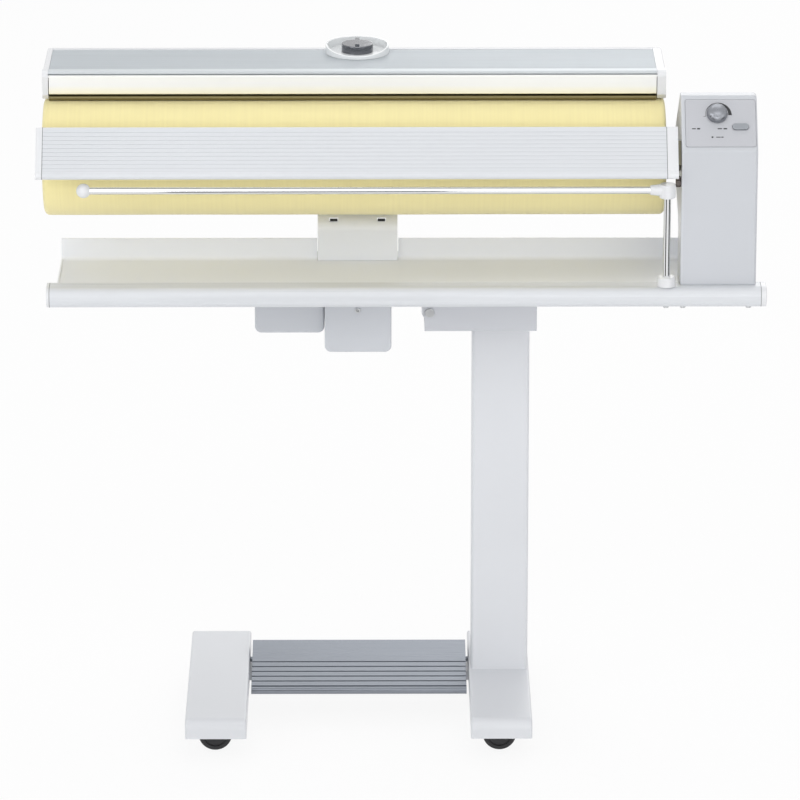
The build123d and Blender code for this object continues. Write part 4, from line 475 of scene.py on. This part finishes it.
def dressNodes():
    for row in frame["record"]["subparts"]:
        mesh = nodes[row["node"]].data
        mesh.materials.clear()
        mesh.materials.append(ownFinish.get(row["node"], finishes[row["material_slot"]]))


dressNodes()
print("finishes ready:", len(finishes))

# new pieces: small helpers first


def finishMesh(name, shape, material):
    bmesh.ops.remove_doubles(shape, verts=shape.verts, dist=1e-6)
    bmesh.ops.recalc_face_normals(shape, faces=shape.faces)
    mesh = bpy.data.meshes.new(name)
    shape.to_mesh(mesh)
    shape.free()
    for face in mesh.polygons:
        face.use_smooth = True
    mesh.materials.append(material)
    piece = bpy.data.objects.new(name, mesh)
    bpy.context.scene.collection.objects.link(piece)
    return piece


def lineOf(shape, points, closed=False):
    verts = [shape.verts.new(point) for point in points]
    edges = [shape.edges.new(pair) for pair in zip(verts, verts[1:])]
    if closed:
        edges.append(shape.edges.new((verts[-1], verts[0])))
    return verts, edges


# the cover over the padding, drawn in over both ends and tied inside the recess
clothSettings = {
    "axisY": -0.007,
    "axisZ": 0.811,
    "left": -0.484,
    "right": 0.356,
    "radius": 0.0798,
    "corner": 0.0075,
    "innerRadius": 0.0704,
    "endLine": [(0.0076, 0.0545), (0.0060, 0.0548), (0.0048, 0.0562), (0.0048, 0.0580), (0.0058, 0.0594),
                (0.0056, 0.0615), (0.0040, 0.0650), (0.0020, 0.0684), (0.0006, 0.0706)],
    "lengthParts": 84,
    "steps": 160,
    "gathers": 38,
    "gatherDepth": 0.0009,
    "gatherRun": 0.016,
    "gatherFrom": 0.001,
    "endShare": 0.45,
    "wave": 0.00018,
    "waveFrom": 0.002,
    "fill": 0.95,
}


def rollerCloth(settings):
    radius, corner = settings["radius"], settings["corner"]
    bend = []
    for degrees in range(0, 91, 15):
        turn = math.radians(degrees)
        bend.append((corner - corner * math.cos(turn), radius - corner + corner * math.sin(turn)))
    half = settings["endLine"] + bend
    length = settings["right"] - settings["left"]
    inner = [
        (corner + (length - 2 * corner) * part / settings["lengthParts"], radius)
        for part in range(1, settings["lengthParts"])
    ]
    hem = settings["endLine"][0][0]
    back = [(length - hem, settings["innerRadius"]), (hem, settings["innerRadius"])]
    outline = half + inner + [(length - run, height) for run, height in reversed(half)] + back
    shape = bmesh.new()
    along = shape.verts.layers.float.new("along")
    left, axisY, axisZ = settings["left"], settings["axisY"], settings["axisZ"]
    verts, edges = lineOf(shape, [(left + run, axisY, axisZ + height) for run, height in outline], True)
    distance = 0.0
    for vert, after in zip(verts, verts[1:] + verts[:1]):
        vert[along] = distance
        distance += (after.co - vert.co).length
    axis = Vector((0, axisY, axisZ))
    bmesh.ops.spin(
        shape, geom=verts + edges, cent=axis, axis=(1, 0, 0), angle=math.tau,
        steps=settings["steps"], use_merge=True,
    )
    middle = (settings["left"] + settings["right"]) / 2
    for vert in shape.verts:
        arm = Vector((0, vert.co.y, vert.co.z)) - axis
        turn = math.atan2(arm.y, arm.z)
        inward = 1 if vert.co.x < middle else -1
        nearEnd = (vert.co.x - middle) * inward < -length * settings["endShare"]
        if arm.length < settings["innerRadius"] - settings["gatherFrom"] and nearEnd:
            drawn = (settings["innerRadius"] - arm.length) / settings["gatherRun"]
            vert.co.x += inward * settings["gatherDepth"] * drawn * math.sin(settings["gathers"] * turn) * 0.5
        elif arm.length > settings["innerRadius"] + settings["waveFrom"]:
            ripple = math.sin(vert.co.x * 21 + 2.1 * math.sin(3 * turn)) * math.sin(5 * turn + vert.co.x * 9)
            vert.co += arm.normalized() * settings["wave"] * ripple
    layer = shape.loops.layers.uv.new("clothUV")
    for face in shape.faces:
        first = None
        for loop in face.loops:
            turn = math.atan2(loop.vert.co.y - axisY, loop.vert.co.z - axisZ)
            first = turn if first is None else first
            turn += math.tau * round((first - turn) / math.tau)
            loop[layer].uv = (turn * radius, loop.vert[along])
    piece = finishMesh("rollerCloth", shape, finishes["roller_cloth"])
    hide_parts("roller_padding")
    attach(piece, "roller")


rollerCloth(clothSettings)
print("roller cloth ready")


# a profile of (radius, height) pairs turned about Z
def turnedShape(outline, steps):
    shape = bmesh.new()
    verts, edges = lineOf(shape, [(radius, 0, height) for radius, height in outline])
    bmesh.ops.spin(
        shape, geom=verts + edges, cent=(0, 0, 0), axis=(0, 0, 1), angle=math.tau,
        steps=steps, use_merge=True,
    )
    bmesh.ops.remove_doubles(shape, verts=shape.verts, dist=1e-6)
    return shape


def blockShape(size, place=(0, 0, 0), edge=0.0, segments=2):
    shape = bmesh.new()
    bmesh.ops.create_cube(shape, size=1.0)
    bmesh.ops.scale(shape, vec=size, verts=shape.verts)
    if edge:
        bmesh.ops.bevel(
            shape, geom=shape.edges[:], offset=edge, affect="EDGES", segments=segments,
            profile=0.5, material=-1, clamp_overlap=True,
        )
    bmesh.ops.translate(shape, vec=place, verts=shape.verts)
    return shape


def joinShapes(shapes):
    whole = bmesh.new()
    for shape in shapes:
        mesh = bpy.data.meshes.new("part")
        shape.to_mesh(mesh)
        shape.free()
        whole.from_mesh(mesh)
        bpy.data.meshes.remove(mesh)
    return whole


def settle(name, shape, matrix, material, body, smoothAngle=35):
    bmesh.ops.transform(shape, matrix=matrix, verts=shape.verts)
    piece = finishMesh(name, shape, material)
    piece.data.set_sharp_from_angle(angle=math.radians(smoothAngle))
    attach(piece, body)
    return piece


# control panel: its sloped plane, in metres

panelSettings = {
    "lowY": -0.127,
    "lowZ": 0.849,
    "run": 0.054,
    "rise": 0.063,
    "face": 0.0006,
}


# a frame on the panel: X along it, Y up its slope, Z out of it
def panelMatrix(x, share, lift):
    run, rise = panelSettings["run"], panelSettings["rise"]
    length = math.hypot(run, rise)
    up = Vector((0, run / length, rise / length))
    out = Vector((0, -rise / length, run / length))
    foot = Vector((x, panelSettings["lowY"] + share * run, panelSettings["lowZ"] + share * rise))
    turned = Matrix(((1, 0, 0), up, out)).transposed().to_4x4()
    return Matrix.Translation(foot + out * lift) @ turned


knobSettings = {
    "x": 0.422,
    "share": 0.66,
    "lift": 0.0016,
    "skirt": [(0.0, 0.0004), (0.0132, 0.0004), (0.0139, 0.0001), (0.01395, 0.0008), (0.0136, 0.0014),
              (0.0135, 0.0034)],
    "domeRadius": 0.0133,
    "domeLow": 0.0038,
    "domeRise": 0.0068,
    "domeSteps": 14,
    "steps": 120,
    "fluteDepth": 0.00022,
    "fluteLow": 0.0012,
    "fluteHigh": 0.0036,
    "fluteRadius": 0.012,
    "stepsPerFlute": 3,
    "pointer": (0.0009, 0.0036, 0.0003),
    "pointerPlace": (0, 0.0112, 0.0075),
    "pointerTilt": -40,
    "pointerTurn": 128,
}


def dialKnob(settings):
    outline = list(settings["skirt"])
    for step in range(settings["domeSteps"] + 1):
        turn = math.pi / 2 * step / settings["domeSteps"]
        radius = settings["domeRadius"] * math.cos(turn) if step < settings["domeSteps"] else 0.0
        outline.append((radius, settings["domeLow"] + settings["domeRise"] * math.sin(turn)))
    shape = turnedShape(outline, settings["steps"])
    for vert in shape.verts:
        onSkirt = settings["fluteLow"] < vert.co.z < settings["fluteHigh"]
        if onSkirt and vert.co.xy.length > settings["fluteRadius"]:
            turn = math.atan2(vert.co.y, vert.co.x)
            wave = math.cos(turn * settings["steps"] / settings["stepsPerFlute"])
            pull = settings["fluteDepth"] * (0.5 - 0.5 * wave)
            vert.co.xy *= 1 - pull / vert.co.xy.length
    matrix = panelMatrix(settings["x"], settings["share"], settings["lift"])
    knob = settle("dialKnob", shape, matrix, finishes["silver_knob"], "dial")
    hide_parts("control_dial")
    place = settings["pointerPlace"]
    mark = blockShape(settings["pointer"], place, 0.0001)
    tilt = Matrix.Rotation(math.radians(settings["pointerTilt"]), 3, "X")
    bmesh.ops.rotate(mark, cent=place, matrix=tilt, verts=mark.verts)
    turn = Matrix.Rotation(math.radians(settings["pointerTurn"]), 4, "Z")
    settle("dialPointer", mark, matrix @ turn, inkFinish, "dial")


scaleSettings = {
    "inner": 0.0150,
    "thin": 0.0004,
    "thick": 0.0048,
    "swell": 1.7,
    "start": 192,
    "sweep": 197,
    "steps": 72,
    "depth": 0.00008,
}


# the printed scale round the knob: a thin line that swells clockwise to its hottest end
def dialScale(settings):
    shape = bmesh.new()
    start = math.radians(settings["start"])
    inner = settings["inner"]
    ends = [(radius * math.cos(start), radius * math.sin(start), 0) for radius in (inner, inner + 0.001)]
    verts, edges = lineOf(shape, ends)
    bmesh.ops.spin(
        shape, geom=verts + edges, cent=(0, 0, 0), axis=(0, 0, 1), angle=-math.radians(settings["sweep"]),
        steps=settings["steps"], use_merge=False,
    )
    for vert in shape.verts:
        if vert.co.xy.length > inner + 0.0005:
            turned = (start - math.atan2(vert.co.y, vert.co.x)) % math.tau
            share = min(1.0, turned / math.radians(settings["sweep"]))
            width = settings["thin"] + (settings["thick"] - settings["thin"]) * share ** settings["swell"]
            vert.co.xy *= (inner + width) / vert.co.xy.length
    bmesh.ops.solidify(shape, geom=shape.faces[:], thickness=settings["depth"])
    matrix = panelMatrix(knobSettings["x"], knobSettings["share"], panelSettings["face"] + 0.00005)
    settle("dialScale", shape, matrix, inkFinish, "upper_unit")


# small plain marks: each is a place on the panel (x, up the slope) and a size
markSettings = {
    "marks": [((0.3905, 0.0331), (0.0050, 0.0014)), ((0.3968, 0.0331), (0.0040, 0.0020)),
              ((0.4252, 0.0331), (0.0058, 0.0014)), ((0.4325, 0.0331), (0.0048, 0.0018)),
              ((0.4150, 0.0206), (0.0024, 0.0022)), ((0.4230, 0.0206), (0.0060, 0.0012)),
              ((0.4283, 0.0206), (0.0030, 0.0014))],
    "depth": 0.00008,
}


def panelMarks(settings):
    blocks = []
    for (x, up), (width, height) in settings["marks"]:
        blocks.append(blockShape((width, height, settings["depth"]), (x, up, 0)))
    matrix = panelMatrix(0.0, 0.0, panelSettings["face"] + settings["depth"] / 2)
    settle("panelMarks", joinShapes(blocks), matrix, inkFinish, "upper_unit")


buttonSettings = {
    "x": 0.453,
    "share": 0.43,
    "lift": 0.0032,
    "ridges": 9,
    "pitch": 0.0017,
    "size": (0.0006, 0.0056, 0.0005),
}


def buttonRidges(settings):
    blocks = []
    for ridge in range(settings["ridges"]):
        shift = (ridge - (settings["ridges"] - 1) / 2) * settings["pitch"]
        blocks.append(blockShape(settings["size"], (shift, 0, 0), 0.0002))
    matrix = panelMatrix(settings["x"], settings["share"], settings["lift"])
    settle("buttonRidges", joinShapes(blocks), matrix, finishes["grey_plastic"], "button")


screwSettings = {
    "heads": [((0.355, -0.131, 0.6347), "down"), ((0.3776, -0.131, 0.6347), "down"),
              ((0.466, -0.131, 0.6347), "down"), ((-0.060, -0.0603, 0.608), "front")],
    "outline": [(0.0, -0.0079), (0.0015, -0.0079), (0.00195, -0.0072), (0.00195, -0.0001), (0.0038, -0.0001),
                (0.00395, 0.0004), (0.00385, 0.0013), (0.0033, 0.0019), (0.0024, 0.0022), (0.0017, 0.0022),
                (0.0015, 0.0012), (0.0, 0.0011)],
    "steps": 36,
    "recessFloor": 0.001,
    "recessInner": 0.001,
    "recessOuter": 0.002,
    "lobes": 6,
    "lobeShare": 0.13,
}


# pan-head screws with a six-lobed recess
def railScrews(settings):
    shapes = []
    for place, way in settings["heads"]:
        shape = turnedShape(settings["outline"], settings["steps"])
        for vert in shape.verts:
            inRecess = settings["recessInner"] < vert.co.xy.length < settings["recessOuter"]
            if vert.co.z > settings["recessFloor"] and inRecess:
                turn = math.atan2(vert.co.y, vert.co.x)
                vert.co.xy *= 1 + settings["lobeShare"] * math.cos(settings["lobes"] * turn)
        turn = Matrix.Rotation(math.radians(180 if way == "down" else 90), 4, "X")
        bmesh.ops.transform(shape, matrix=Matrix.Translation(place) @ turn, verts=shape.verts)
        shapes.append(shape)
    whole = joinShapes(shapes)
    screws = settle("railScrews", whole, Matrix.Identity(4), finishes["zinc"], "upper_unit")
    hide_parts("unit_screws")


boardSettings = {
    "low": (-0.1415, 0.8175),
    "high": (-0.097, 0.875),
    "depth": 0.007,
    "beadRadius": 0.005,
    "beadSink": 0.001,
    "beadRise": 0.0005,
    "proud": 0.00012,
    "joints": [-0.481, 0.3545],
    "jointWidth": 0.0007,
}


# the shadow line where a moulded end cap meets the board
def boardJoints(settings):
    (lowY, lowZ), (highY, highZ) = settings["low"], settings["high"]
    length = math.hypot(highY - lowY, highZ - lowZ)
    tilt = math.atan2(highZ - lowZ, highY - lowY)
    proud, depth = settings["proud"], settings["depth"]
    shapes = []
    for x in settings["joints"]:
        size = (settings["jointWidth"], length + 2 * proud, depth + 2 * proud)
        slab = blockShape(size, (0, length / 2, -depth / 2))
        bead = bmesh.new()
        radius = settings["beadRadius"] + proud
        bmesh.ops.create_cone(
            bead, cap_ends=True, segments=32, radius1=radius, radius2=radius, depth=settings["jointWidth"]
        )
        middle = (0, settings["beadRadius"] - settings["beadSink"], -depth / 2 + settings["beadRise"])
        turn = Matrix.Translation(middle)
        bmesh.ops.transform(bead, matrix=turn @ Matrix.Rotation(math.radians(90), 4, "Y"), verts=bead.verts)
        both = joinShapes([slab, bead])
        place = Matrix.Translation((x, lowY, lowZ)) @ Matrix.Rotation(tilt, 4, "X")
        bmesh.ops.transform(both, matrix=place, verts=both.verts)
        shapes.append(both)
    settle("boardJoints", joinShapes(shapes), Matrix.Identity(4), jointFinish, "upper_unit")


railSettings = {
    "front": -0.145,
    "back": -0.113,
    "low": 0.635,
    "high": 0.663,
    "round": 0.012,
    "joints": [-0.474, 0.4825],
    "jointWidth": 0.0007,
    "proud": 0.00012,
}


# the same line where the front rail's end caps meet it, round its nose
def railJoints(settings):
    proud = settings["proud"]
    shapes = []
    for x in settings["joints"]:
        size = (settings["jointWidth"], settings["back"] - settings["front"] + proud,
                settings["high"] - settings["low"] + 2 * proud)
        middleY = (settings["front"] + settings["back"] - proud) / 2
        middle = (x, middleY, (settings["low"] + settings["high"]) / 2)
        slab = blockShape(size)
        noses = [
            edge for edge in slab.edges
            if abs(edge.verts[0].co.x - edge.verts[1].co.x) > 1e-6 and edge.verts[0].co.y < 0
        ]
        bmesh.ops.bevel(
            slab, geom=noses, offset=settings["round"] + proud, affect="EDGES", segments=12,
            profile=0.5, material=-1,
        )
        bmesh.ops.translate(slab, vec=middle, verts=slab.verts)
        shapes.append(slab)
    settle("railJoints", joinShapes(shapes), Matrix.Identity(4), jointFinish, "upper_unit")


# what darkens the two slots in the shoe's bracket: near-black toothed blocks whose black is painted shade of
# the slots
slotShadeClipSettings = {
    "size": (0.0104, 0.0022, 0.0036),
    "spacing": 0.065,
    "y": 0.0166,
    "z": 0.7138,
    "teeth": 3,
    "toothShare": 0.55,
    "toothDepth": 0.0016,
}


def slotShadeClips(settings):
    width, depth, height = settings["size"]
    low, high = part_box("support_bracket")
    shapes = []
    for side in (-1, 1):
        middle = (low[0] + high[0]) / 2 + side * settings["spacing"] / 2
        shapes.append(blockShape((width, depth, height), (middle, settings["y"], settings["z"]), 0.0004))
        for tooth in range(settings["teeth"]):
            x = middle + (tooth - (settings["teeth"] - 1) / 2) * width / settings["teeth"]
            size = (width / settings["teeth"] * settings["toothShare"], settings["toothDepth"], height / 2)
            shapes.append(blockShape(size, (x, settings["y"] - depth / 2, settings["z"]), 0.0003))
    # painted shade: the blocks take the near-black ink finish
    settle("slotShadeClips", joinShapes(shapes), Matrix.Identity(4), inkFinish, "upper_unit")


# the dark patch at the board's right end, taken to be a block and bolt against the side cover
boltSettings = {
    "block": (0.0068, 0.012, 0.013),
    "place": (0.3704, -0.1115, 0.8030),
    "headRadius": 0.0042,
    "headDepth": 0.0028,
}


def boardBolt(settings):
    block = blockShape(settings["block"], settings["place"], 0.0012, 3)
    head = bmesh.new()
    radius = settings["headRadius"]
    bmesh.ops.create_cone(
        head, cap_ends=True, segments=6, radius1=radius, radius2=radius * 0.92, depth=settings["headDepth"]
    )
    x, y, z = settings["place"]
    front = Matrix.Translation((x, y - settings["block"][1] / 2 - settings["headDepth"] / 2, z))
    bmesh.ops.transform(head, matrix=front @ Matrix.Rotation(math.radians(90), 4, "X"), verts=head.verts)
    shape = joinShapes([block, head])
    settle("boardBolt", shape, Matrix.Identity(4), finishes["dark_steel"], "upper_unit")


inkFinish = moulded("panelInk", (0.02, 0.021, 0.024), 0.5, 0.00002)
jointFinish = moulded("jointShadow", (0.16, 0.165, 0.175), 0.7, 0.00003)
dialKnob(knobSettings)
dialScale(scaleSettings)
panelMarks(markSettings)
buttonRidges(buttonSettings)
print("control panel ready")
railScrews(screwSettings)
boardJoints(boardSettings)
railJoints(railSettings)
slotShadeClips(slotShadeClipSettings)
boardBolt(boltSettings)
print("screws, clips and joints ready")
